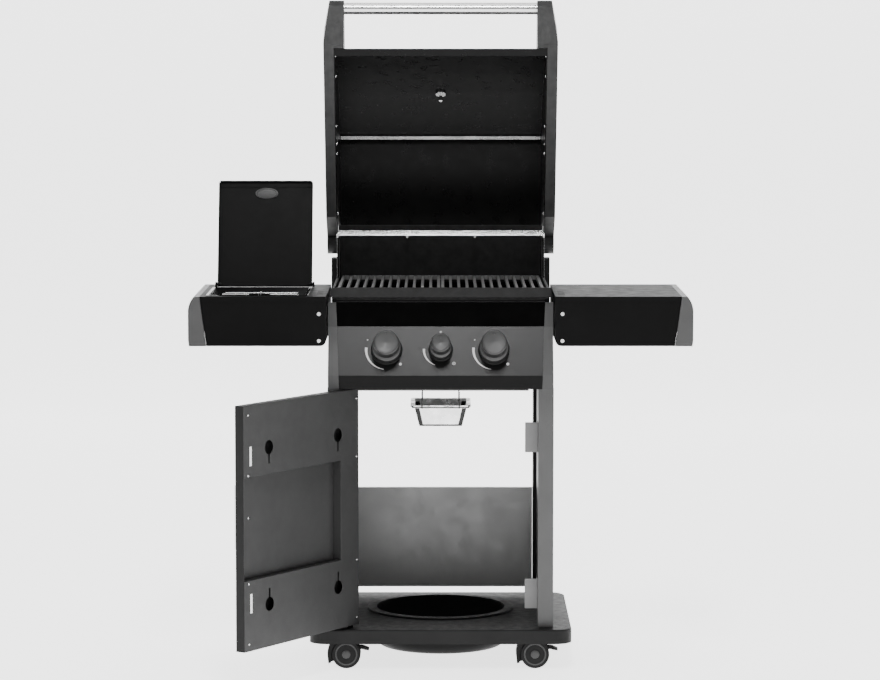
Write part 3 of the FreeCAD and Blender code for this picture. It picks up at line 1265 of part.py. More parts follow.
def brake_lever(name, x, y):
    cheek = [
        ("%s + lever_x - 4" % x, "lever_z - 4"), ("%s + lever_x - 4" % x, "lever_z + 4"), ("%s + 40" % x,
                "lever_z + 3"),
        ("%s + 56" % x, "lever_z - 4"), ("%s + 55" % x, "lever_z - 8"), ("%s + 41" % x, "lever_z - 6"),
    ]
    cheeks = []
    for side, sign in (("near", -1), ("far", 1)):
        low, high = "%s + web_half + 0.3" % y, "%s + web_half + 1.9" % y
        if sign < 0:
            low, high = "%s - web_half - 1.9" % y, "%s - web_half - 0.3" % y
        cheeks.append(prism("%s_%s_cheek" % (name, side), "y", cheek, low, high))
    pad_section = [("%s + 42" % x, "lever_z - 6"), ("%s + 42" % x, "lever_z + 2"),
                   ("%s + 56" % x, "lever_z - 4"),
                   ("%s + 55" % x, "lever_z - 8")]
    pad = prism(name + "_toe_pad", "y", pad_section, "%s - 13" % y, "%s + 13" % y)
    hole = rod(name + "_lever_hole", "2 + fit_gap", "y", "%s - 20" % y, "%s + 20" % y, "%s + lever_x" % x,
               "lever_z")
    return cut(name + "_lever_part", fuse(name + "_lever_solid", pad, *cheeks), hole)


def casters():
    caster("caster_front_left", "-caster_x", "caster_front_y", True)
    caster("caster_front_right", "caster_x", "caster_front_y", True)
    caster("caster_rear_left", "-caster_x", "caster_rear_y", False)
    caster("caster_rear_right", "caster_x", "caster_rear_y", False)


def check_and_write():
    doc.recompute()
    for item in doc.Objects:
        if any(flag in item.State for flag in ("Invalid", "Error")):
            raise RuntimeError("%s did not build: %s" % (item.Label, item.State))
    os.makedirs("parts", exist_ok=True)
    for node, item in nodes.items():
        shape = item.Shape
        if shape.isNull() or not shape.isValid() or shape.Volume < 1:
            raise RuntimeError("%s has no valid shape" % node)
    for node, item in nodes.items():
        item.Shape.exportStep("parts/%s.step" % node)
    whole = Part.makeCompound([item.Shape for item in nodes.values()])
    print("nodes", len(nodes), "box", whole.BoundBox)


BUILDERS = (
    base_tray, cylinder_dish, cart_sides, back_panel, catch_plates, cross_rails,
    firebox, main_burners, heat_plates, igniter_electrodes, cooking_grate, warming_rack,
    control_panel, vent_strip, control_panel_trims, knob_bezels, knobs, gas_valves, gas_manifold,
    drip_tray, pan_hanger, foil_pan,
    side_shelves, shelf_end_caps, shelf_screws,
    side_burner_bowl, side_burner_head, pot_support, side_burner_lid,
    door_panel, door_inner_plates, door_handle, hinge_pins,
    lid_skin, lid_end_caps, lid_handle, thermometer, casters,
)

for build in BUILDERS:
    build()
check_and_write()
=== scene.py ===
"""Looks, light and camera for a gas barbecue grill. Lengths are in metres, in the row frame."""

import json
import math

import bmesh
import bpy
from mathutils import Matrix, Vector


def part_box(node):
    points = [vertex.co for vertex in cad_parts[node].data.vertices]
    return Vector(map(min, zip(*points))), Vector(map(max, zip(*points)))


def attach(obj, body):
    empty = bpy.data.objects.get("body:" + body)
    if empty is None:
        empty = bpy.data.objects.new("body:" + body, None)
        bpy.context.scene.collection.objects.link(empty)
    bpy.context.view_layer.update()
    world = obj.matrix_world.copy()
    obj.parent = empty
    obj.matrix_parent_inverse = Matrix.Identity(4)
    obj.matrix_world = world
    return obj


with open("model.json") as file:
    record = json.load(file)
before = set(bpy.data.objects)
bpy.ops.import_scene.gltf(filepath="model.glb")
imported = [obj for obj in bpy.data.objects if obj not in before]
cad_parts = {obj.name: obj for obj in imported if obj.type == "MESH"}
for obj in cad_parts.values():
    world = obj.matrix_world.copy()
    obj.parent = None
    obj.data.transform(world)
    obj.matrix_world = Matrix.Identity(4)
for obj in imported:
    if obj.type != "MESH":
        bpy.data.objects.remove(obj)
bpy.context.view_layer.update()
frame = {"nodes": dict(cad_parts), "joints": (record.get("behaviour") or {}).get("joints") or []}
NODES = frame["nodes"]
JOINTS = {joint["name"]: joint for joint in frame["joints"]}

# The front face of the cart, and how far each cover stands open at rest, in degrees.
FRONT = -0.1704
LID_ANGLE = -68.0
DOOR_ANGLE = -123.6
FLAP_ANGLE = -108.0

# The console leans back above its bend, and the knobs stand square to it.
CONSOLE_LEAN, CONSOLE_RISE = 50, 115
SLOPE = math.atan(CONSOLE_LEAN / CONSOLE_RISE)
CONSOLE_Y = FRONT - 0.035
CONSOLE_BEND = 0.724
KNOB_Z = 0.784
KNOB_TOP = 0.07
KNOB_FOOT = Vector((0, CONSOLE_Y + (KNOB_Z - CONSOLE_BEND) * math.tan(SLOPE), KNOB_Z))

X_AXIS = Vector((1, 0, 0))
CORNERS = ("front_left", "front_right", "rear_left", "rear_right")


def opening(joint, angle):
    """The matrix that takes a closed cover to where it stands at rest."""
    pivot = Vector(JOINTS[joint]["pos_m"])
    turn = Matrix.Rotation(math.radians(angle), 4, Vector(JOINTS[joint]["axis"]))
    return Matrix.Translation(pivot) @ turn @ Matrix.Translation(-pivot)


LID = opening("lid_hinge", LID_ANGLE)
DOOR = opening("door_hinge", DOOR_ANGLE)
FLAP = opening("side_lid_hinge", FLAP_ANGLE)


# Noise stays mostly between these two values, so its range is stretched from them.
NOISE_LOW, NOISE_HIGH = 0.3, 0.7


class Finish:
    """A procedural material, built up node by node."""

    def __init__(self, name, rough, metallic=0.0, **constants):
        self.material = bpy.data.materials.new(name)
        self.material.use_nodes = True
        self.tree = self.material.node_tree
        self.main = self.tree.nodes["Principled BSDF"]
        self.main.inputs["Metallic"].default_value = metallic
        self.main.inputs["Roughness"].default_value = rough
        for socket, value in constants.items():
            self.main.inputs[socket.replace("_", " ")].default_value = value
        self.place = self.add("ShaderNodeTexCoord").outputs["Object"]

    def add(self, kind, links=None, **settings):
        node = self.tree.nodes.new(kind)
        for key, value in settings.items():
            setattr(node, key, value)
        for socket, value in (links or {}).items():
            if isinstance(value, bpy.types.NodeSocket):
                self.tree.links.new(value, node.inputs[socket])
            else:
                node.inputs[socket].default_value = value
        return node

    def stretched(self, stretch):
        return self.add("ShaderNodeMapping", {"Vector": self.place, "Scale": stretch}).outputs[0]

    def noise(self, scale, detail=3.0, stretch=None):
        where = self.stretched(stretch) if stretch else self.place
        links = {"Vector": where, "Scale": scale, "Detail": detail}
        return self.add("ShaderNodeTexNoise", links).outputs["Fac"]

    def cells(self, scale):
        links = {"Vector": self.place, "Scale": scale}
        return self.add("ShaderNodeTexVoronoi", links).outputs["Distance"]

    def remap(self, value, low, high):
        """A noise value, spread from low to high."""
        links = {"Value": value, "From Min": NOISE_LOW, "From Max": NOISE_HIGH}
        links.update({"To Min": low, "To Max": high})
        return self.add("ShaderNodeMapRange", links).outputs["Result"]

    def blend(self, factor, first, second):
        mix = self.add("ShaderNodeMix", data_type="RGBA")
        sockets = (mix.inputs[0], mix.inputs[6], mix.inputs[7])
        for socket, value in zip(sockets, (factor, first, second)):
            if isinstance(value, bpy.types.NodeSocket):
                self.tree.links.new(value, socket)
            else:
                socket.default_value = value
        return mix.outputs[2]

    def along(self, direction, start):
        """Distance along a direction in the object's own space, from start, in metres."""
        dot = self.add("ShaderNodeVectorMath", operation="DOT_PRODUCT")
        self.tree.links.new(self.place, dot.inputs[0])
        dot.inputs[1].default_value = direction
        links = {0: dot.outputs["Value"], 1: start}
        return self.add("ShaderNodeMath", links, operation="SUBTRACT").outputs[0]

    def steps(self, value, span, *stops):
        """Greys that change at the given distances."""
        scaled = self.add("ShaderNodeMath", {0: value, 1: span}, operation="DIVIDE").outputs[0]
        ramp = self.add("ShaderNodeValToRGB", {"Fac": scaled})
        ramp.color_ramp.interpolation = "CONSTANT"
        points = ramp.color_ramp.elements
        while len(points) > 1:
            points.remove(points[-1])
        points[0].position, points[0].color = 0.0, shade(stops[0][1])
        for distance, grey in stops[1:]:
            points.new(distance / span).color = shade(grey)
        return ramp.outputs["Color"]

    def tinted(self, colors, scale=30.0):
        """The given greys, mottled a little."""
        mottle = self.remap(self.noise(scale), 0.92, 1.06)
        mix = self.add("ShaderNodeVectorMath", operation="SCALE")
        self.tree.links.new(colors, mix.inputs[0])
        self.tree.links.new(mottle, mix.inputs["Scale"])
        return mix.outputs[0]

    def color(self, output):
        self.tree.links.new(output, self.main.inputs["Base Color"])

    def roughness(self, output):
        self.tree.links.new(output, self.main.inputs["Roughness"])

    def bump(self, *layers):
        """Each layer is a height and its depth in metres."""
        last = None
        for height, depth in layers:
            links = {"Height": height, "Distance": depth, "Strength": 1.0}
            if last:
                links["Normal"] = last
            last = self.add("ShaderNodeBump", links).outputs["Normal"]
        self.tree.links.new(last, self.main.inputs["Normal"])


def shade(grey, warmth=0.0):
    """A linear near-grey colour."""
    return (grey * (1 + warmth), grey, grey * (1 - warmth), 1.0)


def coated(name, grey, rough, grain=0.00012, metallic=0.0, fleck=0.0, **constants):
    """Powder coat or enamel: fine orange peel, faint mottling and, with fleck, metal flakes."""
    made = Finish(name, rough, metallic, **constants)
    mottle = made.noise(9.0, 4.0)
    base = made.blend(made.remap(mottle, 0.0, 1.0), shade(grey * 0.9), shade(grey * 1.1))
    if fleck:
        flakes = made.remap(made.noise(2600.0, 1.0), 0.0, fleck)
        base = made.blend(flakes, base, shade(min(1.0, grey * 3.2)))
    made.color(base)
    made.roughness(made.remap(made.noise(35.0), rough * 0.86, rough * 1.14))
    made.bump((made.noise(900.0, 2.0), grain), (made.noise(60.0, 2.0), grain * 1.5))
    return made.material


def brushed(name, grey, rough, stretch, warmth=0.0):
    """Brushed or drawn metal, with its scratches along the axis that stretch leaves small."""
    made = Finish(name, rough, 1.0, Anisotropic=0.6)
    lines = made.noise(1.0, 4.0, stretch)
    smudge = made.noise(14.0, 3.0)
    light, dark = shade(grey * 1.06, warmth), shade(grey * 0.88, warmth)
    made.color(made.blend(made.remap(lines, 0.0, 1.0), dark, light))
    made.roughness(made.remap(smudge, rough * 0.8, rough * 1.25))
    made.bump((lines, 0.00004))
    return made.material


def moulded(name, grey, rough, size=1500.0, depth=0.00010, **constants):
    """Moulded plastic with a fine spark-eroded grain."""
    made = Finish(name, rough, 0.0, **constants)
    mottle = made.remap(made.noise(12.0), 0.0, 1.0)
    made.color(made.blend(mottle, shade(grey * 0.9), shade(grey * 1.12)))
    made.roughness(made.remap(made.noise(50.0), rough * 0.88, rough * 1.12))
    made.bump((made.cells(size), depth), (made.noise(30.0, 2.0), depth))
    return made.material


def cast(name, grey, rough, depth, metallic=0.0, **constants):
    """A sand-cast skin under a matt coating."""
    made = Finish(name, rough, metallic, **constants)
    mottle = made.remap(made.noise(40.0, 5.0), 0.0, 1.0)
    made.color(made.blend(mottle, shade(grey * 0.78), shade(grey * 1.2)))
    made.roughness(made.remap(made.noise(110.0), rough * 0.8, rough * 1.15))
    made.bump((made.noise(420.0, 4.0), depth), (made.noise(90.0, 3.0), depth * 1.6))
    return made.material


FOIL_TOP = 0.625        # height from which the pan's depths are counted
FOIL_TAPER = 0.217      # how far the pan's walls lean in per metre of depth
FOIL_HALF = 0.0535      # half the pan's width where its walls begin
FOIL_DEPTH = 0.0445     # depth at which the pan's floor begins
FOIL_RIM = 0.0035       # depth of the bright rim


def crinkled(name):
    """Pressed foil with creases, with painted shade on the pan's side walls and floor."""
    made = Finish(name, 0.25, 1.0)
    crease = made.cells(45.0)

    def over(value, limit):
        return made.add("ShaderNodeMath", {0: value, 1: limit}, operation="GREATER_THAN").outputs[0]

    across = made.add("ShaderNodeMath", {0: made.along((1, 0, 0), 0.0)}, operation="ABSOLUTE").outputs[0]
    down = made.along((0, 0, -1), -FOIL_TOP)
    links = {0: down, 1: FOIL_TAPER, 2: across}
    side = made.add("ShaderNodeMath", links, operation="MULTIPLY_ADD").outputs[0]
    sheet = made.blend(made.remap(made.noise(30.0), 0.0, 1.0), shade(0.75), shade(0.95))
    # Below the bright rim, the pan's side walls and floor are painted dark as shade.
    links = {0: over(side, FOIL_HALF), 1: over(down, FOIL_DEPTH)}
    either = made.add("ShaderNodeMath", links, operation="MAXIMUM").outputs[0]
    links = {0: either, 1: over(down, FOIL_RIM)}
    dark = made.add("ShaderNodeMath", links, operation="MULTIPLY").outputs[0]
    made.color(made.blend(dark, sheet, shade(0.03)))
    made.roughness(made.remap(crease, 0.18, 0.4))
    made.bump((crease, 0.0016), (made.noise(160.0, 4.0), 0.0006))
    return made.material


# Greys by height above the console, with painted light and shade: skirt, lit step, shaded groove, cap and
# lit cap end.
KNOB_LIGHT_AND_SHADE_BANDS = ((0.0, 0.010), (0.0225, 0.045), (0.0262, 0.006), (0.033, 0.011), (0.0545, 0.034))


def knob_look():
    """A near-black knob with painted highlights on its step and cap end and painted shade in its groove,
    told apart by height along the axis.
    """
    made = Finish("knob_plastic", 0.34, 0.0, Specular_IOR_Level=0.35)
    out = Vector((0, -math.cos(SLOPE), math.sin(SLOPE)))
    height = made.along(out, out.dot(KNOB_FOOT))
    made.color(made.tinted(made.steps(height, KNOB_TOP, *KNOB_LIGHT_AND_SHADE_BANDS)))
    made.roughness(made.remap(made.noise(50.0), 0.3, 0.4))
    made.bump((made.cells(2200.0), 0.00004))
    return made.material


CONSOLE_FOOT = 0.6
CONSOLE_SPAN = 0.3


def console_look():
    """Satin metallic coat on the slope and a black strip below its bend."""
    made = Finish("console_coat", 0.3, 0.85, Specular_IOR_Level=0.3)
    height = made.along((0, 0, 1), CONSOLE_FOOT)
    bands = ((0.0, 0.010), (CONSOLE_BEND - CONSOLE_FOOT, 0.021))
    made.color(made.tinted(made.steps(height, CONSOLE_SPAN, *bands), 1600.0))
    made.roughness(made.remap(made.noise(35.0), 0.29, 0.31))
    made.bump((made.noise(900.0, 2.0), 0.00008))
    return made.material


# Faces turned further towards the free side than this belong to the folded edge, which gets painted shade.
DOOR_SHADED_EDGE_FACING = 0.8


def door_look():
    """Charcoal coat, with painted shade on the folded free edge."""
    made = Finish("door_skin_coat", 0.45, 0.2, Specular_IOR_Level=0.2)
    out = DOOR.to_3x3() @ X_AXIS
    facing = made.add("ShaderNodeVectorMath", operation="DOT_PRODUCT")
    made.tree.links.new(made.add("ShaderNodeTexCoord").outputs["Normal"], facing.inputs[0])
    facing.inputs[1].default_value = out
    links = {0: facing.outputs["Value"], 1: DOOR_SHADED_EDGE_FACING}
    edge = made.add("ShaderNodeMath", links, operation="GREATER_THAN").outputs[0]
    # The folded free edge gets painted shade: the same coat, darker.
    made.color(made.tinted(made.blend(edge, shade(0.04), shade(0.008)), 9.0))
    made.roughness(made.remap(made.noise(35.0), 0.38, 0.5))
    made.bump((made.noise(900.0, 2.0), 0.00012))
    return made.material


RACK_FOOT = 0.9
RACK_SPAN = 0.3
# Wire below this height above the foot is painted near black as shade.
RACK_SHADE_TOP = 0.1365


def rack_look():
    """Bright wire above a height, with painted shade on the wire below it."""
    made = Finish("rack_wire", 0.2, 1.0)
    height = made.along((0, 0, 1), RACK_FOOT)
    made.color(made.tinted(made.steps(height, RACK_SPAN, (0.0, 0.012), (RACK_SHADE_TOP, 0.7)), 60.0))
    made.roughness(made.remap(made.noise(80.0), 0.16, 0.3))
    made.bump((made.noise(500.0), 0.00003))
    return made.material


def glass_look():
    """Clear glass with a faint unevenness."""
    made = Finish("dial_glass", 0.03, 0.0, Transmission_Weight=1.0, IOR=1.45)
    made.color(made.blend(made.remap(made.noise(8.0), 0.0, 1.0), shade(0.96), shade(1.0)))
    made.roughness(made.remap(made.noise(20.0), 0.02, 0.05))
    made.bump((made.noise(12.0), 0.00002))
    return made.material


DARK = {"Specular_IOR_Level": 0.1}
DIM = {"Specular_IOR_Level": 0.22}
LOOKS = {
    "pillar": coated("pillar_coat", 0.058, 0.42, metallic=0.35, fleck=0.4, **DIM),
    "catch": coated("catch_coat", 0.17, 0.45, metallic=0.2, **DIM),
    "console": console_look(),
    "black": coated("black_coat", 0.006, 0.42, grain=0.00016, **DARK),
    "shelf": coated("shelf_coat", 0.0045, 0.5, grain=0.0001, Specular_IOR_Level=0.04),
    "flap": coated("flap_coat", 0.0045, 0.4, Specular_IOR_Level=0.07),
    "door": coated("door_coat", 0.031, 0.45, metallic=0.2, fleck=0.2, **DIM),
    "door_shaded_edge": door_look(),
    "back": coated("back_coat", 0.26, 0.4, metallic=0.3, fleck=0.2, **DIM),
    "enamel": coated("enamel_black", 0.0012, 0.2, grain=0.00003, Specular_IOR_Level=0.05),
    "lid": coated("lid_enamel", 0.0022, 0.3, grain=0.00005, **DARK),
    "cap": cast("cap_casting", 0.026, 0.45, 0.00007, metallic=0.2, **DIM),
    "fire": cast("fire_casting", 0.016, 0.55, 0.00012, **DARK),
    "iron": cast("grate_iron", 0.15, 0.5, 0.00025, **DIM),
    "head": cast("burner_casting", 0.05, 0.6, 0.00018, metallic=0.4, **DIM),
    "trim": moulded("trim_plastic", 0.058, 0.42, **DIM),
    "base": moulded("base_plastic", 0.014, 0.5, **DARK),
    "dish": moulded("dish_plastic", 0.0105, 0.42, **DARK),
    "caster": moulded("caster_plastic", 0.009, 0.4, **DARK),
    "tyre": moulded("tyre_rubber", 0.014, 0.6, size=900.0, **DARK),
    "hub": moulded("hub_plastic", 0.05, 0.35, **DIM),
    "knob": knob_look(),
    "bezel": moulded("bezel_plastic", 0.008, 0.35, **DARK),
    "ceramic": moulded("ceramic", 0.7, 0.3, size=600.0),
    "print": moulded("light_print", 0.55, 0.5, size=2600.0, depth=0.00001),
    "dial": moulded("dial_paint", 0.78, 0.4, size=1800.0, depth=0.00002),
    "steel": brushed("steel_along_x", 0.72, 0.24, (6.0, 900.0, 900.0)),
    "plate": brushed("steel_sheet", 0.09, 0.42, (500.0, 8.0, 500.0)),
    "wire": brushed("bright_wire", 0.7, 0.18, (60.0, 60.0, 60.0)),
    "rack": rack_look(),
    "hanger": brushed("hanger_wire", 0.06, 0.3, (60.0, 60.0, 60.0)),
    "screw": brushed("screw_steel", 0.72, 0.22, (700.0, 700.0, 700.0)),
    "brass": brushed("turned_brass", 0.5, 0.3, (300.0, 300.0, 300.0), warmth=0.35),
    "foil": crinkled("foil"),
    "glass": glass_look(),
}
LOOK_OF = {
    "front_left_pillar": "pillar", "front_right_pillar": "pillar", "catch_plates": "catch",
    "left_side_panel": "black", "right_side_panel": "black", "back_panel": "back",
    "cross_rails": "black", "base_tray": "base", "cylinder_dish": "dish",
    "firebox": "fire", "main_burners": "plate", "heat_plates": "plate", "igniter_electrodes": "ceramic",
    "left_cooking_grate": "iron", "right_cooking_grate": "iron", "warming_rack": "rack",
    "control_panel": "console", "vent_strip": "enamel", "control_panel_trims": "trim",
    "knob_bezels": "bezel", "gas_valves": "brass", "gas_manifold": "plate",
    "left_side_shelf": "shelf", "right_side_shelf": "shelf",
    "left_shelf_end_cap": "trim", "right_shelf_end_cap": "trim", "shelf_screws": "screw",
    "side_burner_bowl": "enamel", "side_burner_head": "head", "pot_support": "wire",
    "hinge_pins": "caster", "lid_skin": "lid", "lid_end_cap_left": "cap", "lid_end_cap_right": "cap",
    "lid_handle": "steel", "thermometer_case": "screw", "thermometer_needle": "caster",
    "side_burner_lid": "flap", "door_panel": "door_shaded_edge", "door_inner_plates": "door",
    "door_handle": "steel", "drip_tray": "plate", "pan_hanger": "hanger", "foil_pan": "foil",
}
for side in ("left", "center", "right"):
    LOOK_OF["knob_" + side] = "knob"
    LOOK_OF["valve_spindle_" + side] = "brass"
for corner in CORNERS:
    LOOK_OF["caster_" + corner] = "caster"
    LOOK_OF["caster_" + corner + "_wheels"] = "tyre"
    if corner.startswith("front"):
        LOOK_OF["caster_" + corner + "_brake_lever"] = "caster"

# Wire, foil and other thin pieces, and the console, whose slope shades unevenly if bevelled.
UNBEVELLED = {
    "control_panel", "igniter_electrodes", "thermometer_needle", "warming_rack",
    "pan_hanger", "foil_pan",
}
EDGE = 0.0009
EDGE_OF = {
    "base_tray": 0.003, "firebox": 0.0015,
    "lid_end_cap_left": 0.002, "lid_end_cap_right": 0.002,
}
WELD_REACH = 0.00001
SHARP = math.radians(38)


def soften(item, width):
    """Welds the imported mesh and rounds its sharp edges."""
    weld = item.modifiers.new("weld", "WELD")
    weld.merge_threshold = WELD_REACH
    bevel = item.modifiers.new("bevel", "BEVEL")
    bevel.width = width
    bevel.segments = 2
    bevel.limit_method = "ANGLE"
    bevel.angle_limit = SHARP
    bevel.use_clamp_overlap = True
    normals = item.modifiers.new("normals", "WEIGHTED_NORMAL")
    normals.keep_sharp = True


for node, item in NODES.items():
    item.data.materials.clear()
    item.data.materials.append(LOOKS[LOOK_OF[node]])
    if node not in UNBEVELLED:
        soften(item, EDGE_OF.get(node, EDGE))


def piece(name, body, look, bm, place=None):
    """Turns a bmesh into a named piece that rides on a body."""
    if place:
        bmesh.ops.transform(bm, matrix=place, verts=bm.verts)
    bmesh.ops.recalc_face_normals(bm, faces=bm.faces)
    mesh = bpy.data.meshes.new(name)
    bm.to_mesh(mesh)
    bm.free()
    mesh.materials.append(LOOKS[look])
    item = bpy.data.objects.new(name, mesh)
    bpy.context.scene.collection.objects.link(item)
    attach(item, body)
    return item


def slab(bm, low, high, edge=0.0003):
    """A bevelled block between two corners."""
    made = bmesh.ops.create_cube(bm, size=1.0)["verts"]
    size = [b - a for a, b in zip(low, high)]
    middle = [(a + b) / 2 for a, b in zip(low, high)]
    bmesh.ops.scale(bm, vec=size, verts=made)
    bmesh.ops.translate(bm, vec=middle, verts=made)
    edges = {e for v in made for e in v.link_edges}
    bmesh.ops.bevel(bm, geom=list(edges), offset=min(edge, min(size) / 3), segments=2,
                    affect="EDGES", profile=0.5)
    return bm


def lathe(bm, section, place=None, sides=40):
    """Turns a closed outline of (radius, height) about z."""
    rings = []
    for radius, height in section:
        if radius == 0:
            rings.append([bm.verts.new((0, 0, height))] * sides)
            continue
        turn = 2 * math.pi / sides
        spots = [(radius * math.cos(i * turn), radius * math.sin(i * turn), height)
                 for i in range(sides)]
        rings.append([bm.verts.new(spot) for spot in spots])
    for low, high in zip(rings, rings[1:] + rings[:1]):
        for i in range(sides):
            corners = [low[i], low[(i + 1) % sides], high[(i + 1) % sides], high[i]]
            unique = list(dict.fromkeys(corners))
            if len(unique) > 2:
                bm.faces.new(unique)
    if place:
        bmesh.ops.transform(bm, matrix=place, verts=list({v for ring in rings for v in ring}))
    return bm


DOME = [(0, 0), (1.0, 0), (1.0, 0.22), (0.8, 0.5), (0.45, 0.68), (0, 0.74)]


def dome(bm, spot, facing, radius):
    """A low domed screw head at a spot."""
    turn = Vector(facing).to_track_quat("Z", "Y").to_matrix().to_4x4()
    lathe(bm, [(r * radius, h * radius) for r, h in DOME], Matrix.Translation(spot) @ turn, 20)


def on_slope(x):
    """The console's slope at a knob: x across, y up the slope, z outwards."""
    foot = Matrix.Translation((x, KNOB_FOOT.y, KNOB_Z))
    return foot @ Matrix.Rotation(math.pi / 2 - SLOPE, 4, "X")


PRINT_LIFT = 0.0001
PRINT_DEEP = 0.00025
ARC_STEPS = 32


def printed_arc(bm, radius, start, end, wide_start, wide_end):
    """A tapering printed band around a knob, angles in degrees."""
    rows = []
    for i in range(ARC_STEPS + 1):
        part = i / ARC_STEPS
        angle = math.radians(start + (end - start) * part)
        half = (wide_start + (wide_end - wide_start) * part) / 2
        spots = [(r * math.cos(angle), r * math.sin(angle)) for r in (radius - half, radius + half)]
        rows.append([bm.verts.new((x, y, z)) for z in (PRINT_LIFT, PRINT_DEEP) for x, y in spots])
    for low, high in zip(rows, rows[1:]):
        for a, b in ((0, 1), (1, 3), (3, 2), (2, 0)):
            bm.faces.new((low[a], low[b], high[b], high[a]))
    bm.faces.new(rows[0][:2] + rows[0][:1:-1])
    bm.faces.new(rows[-1][:2] + rows[-1][:1:-1])


def printed_dot(bm, radius, angle, size, hollow=0):
    """A printed disc, or a ring where hollow is its inner radius."""
    spot = (radius * math.cos(math.radians(angle)), radius * math.sin(math.radians(angle)), 0)
    section = [(hollow, PRINT_LIFT), (size, PRINT_LIFT), (size, PRINT_DEEP), (hollow, PRINT_DEEP)]
    lathe(bm, section, Matrix.Translation(spot), 24)


# Bands are radius, two angles in degrees and two widths; dots are radius, angle, size and hollow.
SIDE_BAND = (0.0495, 173, 262, 0.0062, 0.0012)
SIDE_DOTS = ((0.053, 151, 0.0018), (0.0492, -47, 0.0034))
CENTER_BAND = (0.0405, 176, 250, 0.0056, 0.0012)
CENTER_DOTS = ((0.046, 90, 0.0024), (0.047, -47, 0.0040, 0.0026), (0.047, -47, 0.0012))
PRINTS = (
    ("left", -0.131, SIDE_BAND, SIDE_DOTS),
    ("right", 0.129, SIDE_BAND, SIDE_DOTS),
    ("center", 0, CENTER_BAND, CENTER_DOTS),
)


def console_marks():
    """The printed tapering bands and dots around the three knobs."""
    for name, x, band, dots in PRINTS:
        bm = bmesh.new()
        printed_arc(bm, *band)
        for dot in dots:
            printed_dot(bm, *dot)
        piece("dial_marks_" + name, "cart", "print", bm, on_slope(x))


# The lid's ridge when closed, and the strip's half length and faces around it when open.
RIDGE = Vector((0, FRONT + 0.364, 1.252))
RIDGE_HALF = 0.262
RIDGE_DEPTH = (-0.0135, -0.012)
RIDGE_HEIGHT = (-0.0045, 0.0041)
LID_SCREW_X, LID_SCREW_Z, LID_SCREW_RADIUS = 0.2632, 0.957, 0.0032
LID_SCREW_DEPTHS = (0.012, 0.067, 0.202, 0.2507, 0.2776, 0.4448)


def lid_details():
    """The ridge strip and the screws inside the open lid."""
    ridge = LID @ RIDGE
    low = (-RIDGE_HALF, ridge.y + RIDGE_DEPTH[0], ridge.z + RIDGE_HEIGHT[0])
    high = (RIDGE_HALF, ridge.y + RIDGE_DEPTH[1], ridge.z + RIDGE_HEIGHT[1])
    piece("lid_ridge_strip", "lid", "steel", slab(bmesh.new(), low, high))
    bm = bmesh.new()
    for depth in LID_SCREW_DEPTHS:
        for side in (-1, 1):
            spot = (side * LID_SCREW_X, FRONT + depth, LID_SCREW_Z)
            dome(bm, spot, (-side, 0, 0), LID_SCREW_RADIUS)
    piece("lid_side_screws", "lid", "screw", bm, LID)


# Brackets at the ends of the vent strip, and a painted highlight line under it: x, y from the front, z.
BRACKET_X = (0.2552, 0.2648)
BRACKET_Y = (0.020, 0.030)
BRACKET_Z = (0.892, 0.9108)
VENT_HIGHLIGHT_HALF = 0.2535
VENT_HIGHLIGHT_Y = (0.0195, 0.024)
VENT_HIGHLIGHT_Z = (0.8982, 0.8994)


def vent_details():
    """The brackets at the ends of the vent strip and a painted highlight line under its edge."""
    bm = bmesh.new()
    for side in (-1, 1):
        ends = sorted(side * x for x in BRACKET_X)
        low = (ends[0], FRONT + BRACKET_Y[0], BRACKET_Z[0])
        high = (ends[1], FRONT + BRACKET_Y[1], BRACKET_Z[1])
        slab(bm, low, high)
    piece("vent_strip_brackets", "cart", "enamel", bm)
    # A thin light strip is a painted highlight along the vent strip's edge.
    low = (-VENT_HIGHLIGHT_HALF, FRONT + VENT_HIGHLIGHT_Y[0], VENT_HIGHLIGHT_Z[0])
    high = (VENT_HIGHLIGHT_HALF, FRONT + VENT_HIGHLIGHT_Y[1], VENT_HIGHLIGHT_Z[1])
    piece("vent_strip_painted_highlight", "cart", "trim", slab(bmesh.new(), low, high))


# The side burner's lid from its hinge: its underside, its front edge and what is fixed there.
FLAP_X = -0.437
FLAP_UNDER = 0.0048
FLAP_REACH = 0.266
FOLD_X = (-0.5555, -0.3225)
FOLD_BACK = (0.0014, 0.0142)
FOLD_DROP = (0.0016, 0.0003)
GRIP_BACK = 0.0305
GRIP_SQUASH = 0.49
GRIP_RING = [(0.0285, -0.0002), (0.0285, -0.0026), (0.0245, -0.0030), (0.0235, -0.0018), (0.0235, -0.0002)]
GRIP_PAD = [(0, -0.0002), (0.0232, -0.0002), (0.0232, -0.0012), (0.012, -0.0018), (0, -0.0020)]


def flap_details():
    """The folded front edge and the oval grip on the inside of the side burner's lid."""
    hinge = Vector(JOINTS["side_lid_hinge"]["pos_m"])
    under, front = hinge.z + FLAP_UNDER, hinge.y - FLAP_REACH
    low = (FOLD_X[0], front + FOLD_BACK[0], under - FOLD_DROP[0])
    high = (FOLD_X[1], front + FOLD_BACK[1], under - FOLD_DROP[1])
    piece("side_lid_fold", "side_lid", "flap", slab(bmesh.new(), low, high), FLAP)
    spot = Matrix.Translation((FLAP_X, front + GRIP_BACK, under)) @ Matrix.Diagonal((1, GRIP_SQUASH, 1, 1))
    piece("side_lid_grip_ring", "side_lid", "hub", lathe(bmesh.new(), GRIP_RING), FLAP @ spot)
    piece("side_lid_grip", "side_lid", "hub", lathe(bmesh.new(), GRIP_PAD), FLAP @ spot)


# The closed door's hinge edge and inner face, with places across it counted from that edge.
DOOR_EDGE_X = -0.232
DOOR_FACE = FRONT + 0.0251
STRIKER_ACROSS = (0.435, 0.443)
STRIKER_FEET = (0.200, 0.546)
STRIKER_TALL, STRIKER_THICK = 0.046, 0.0016
DOOR_SCREW_HEIGHTS = (0.666, 0.524, 0.270, 0.128)
DOOR_SCREW_ACROSS = (0.447, 0.009)
DOOR_SCREW_RADIUS = 0.0028


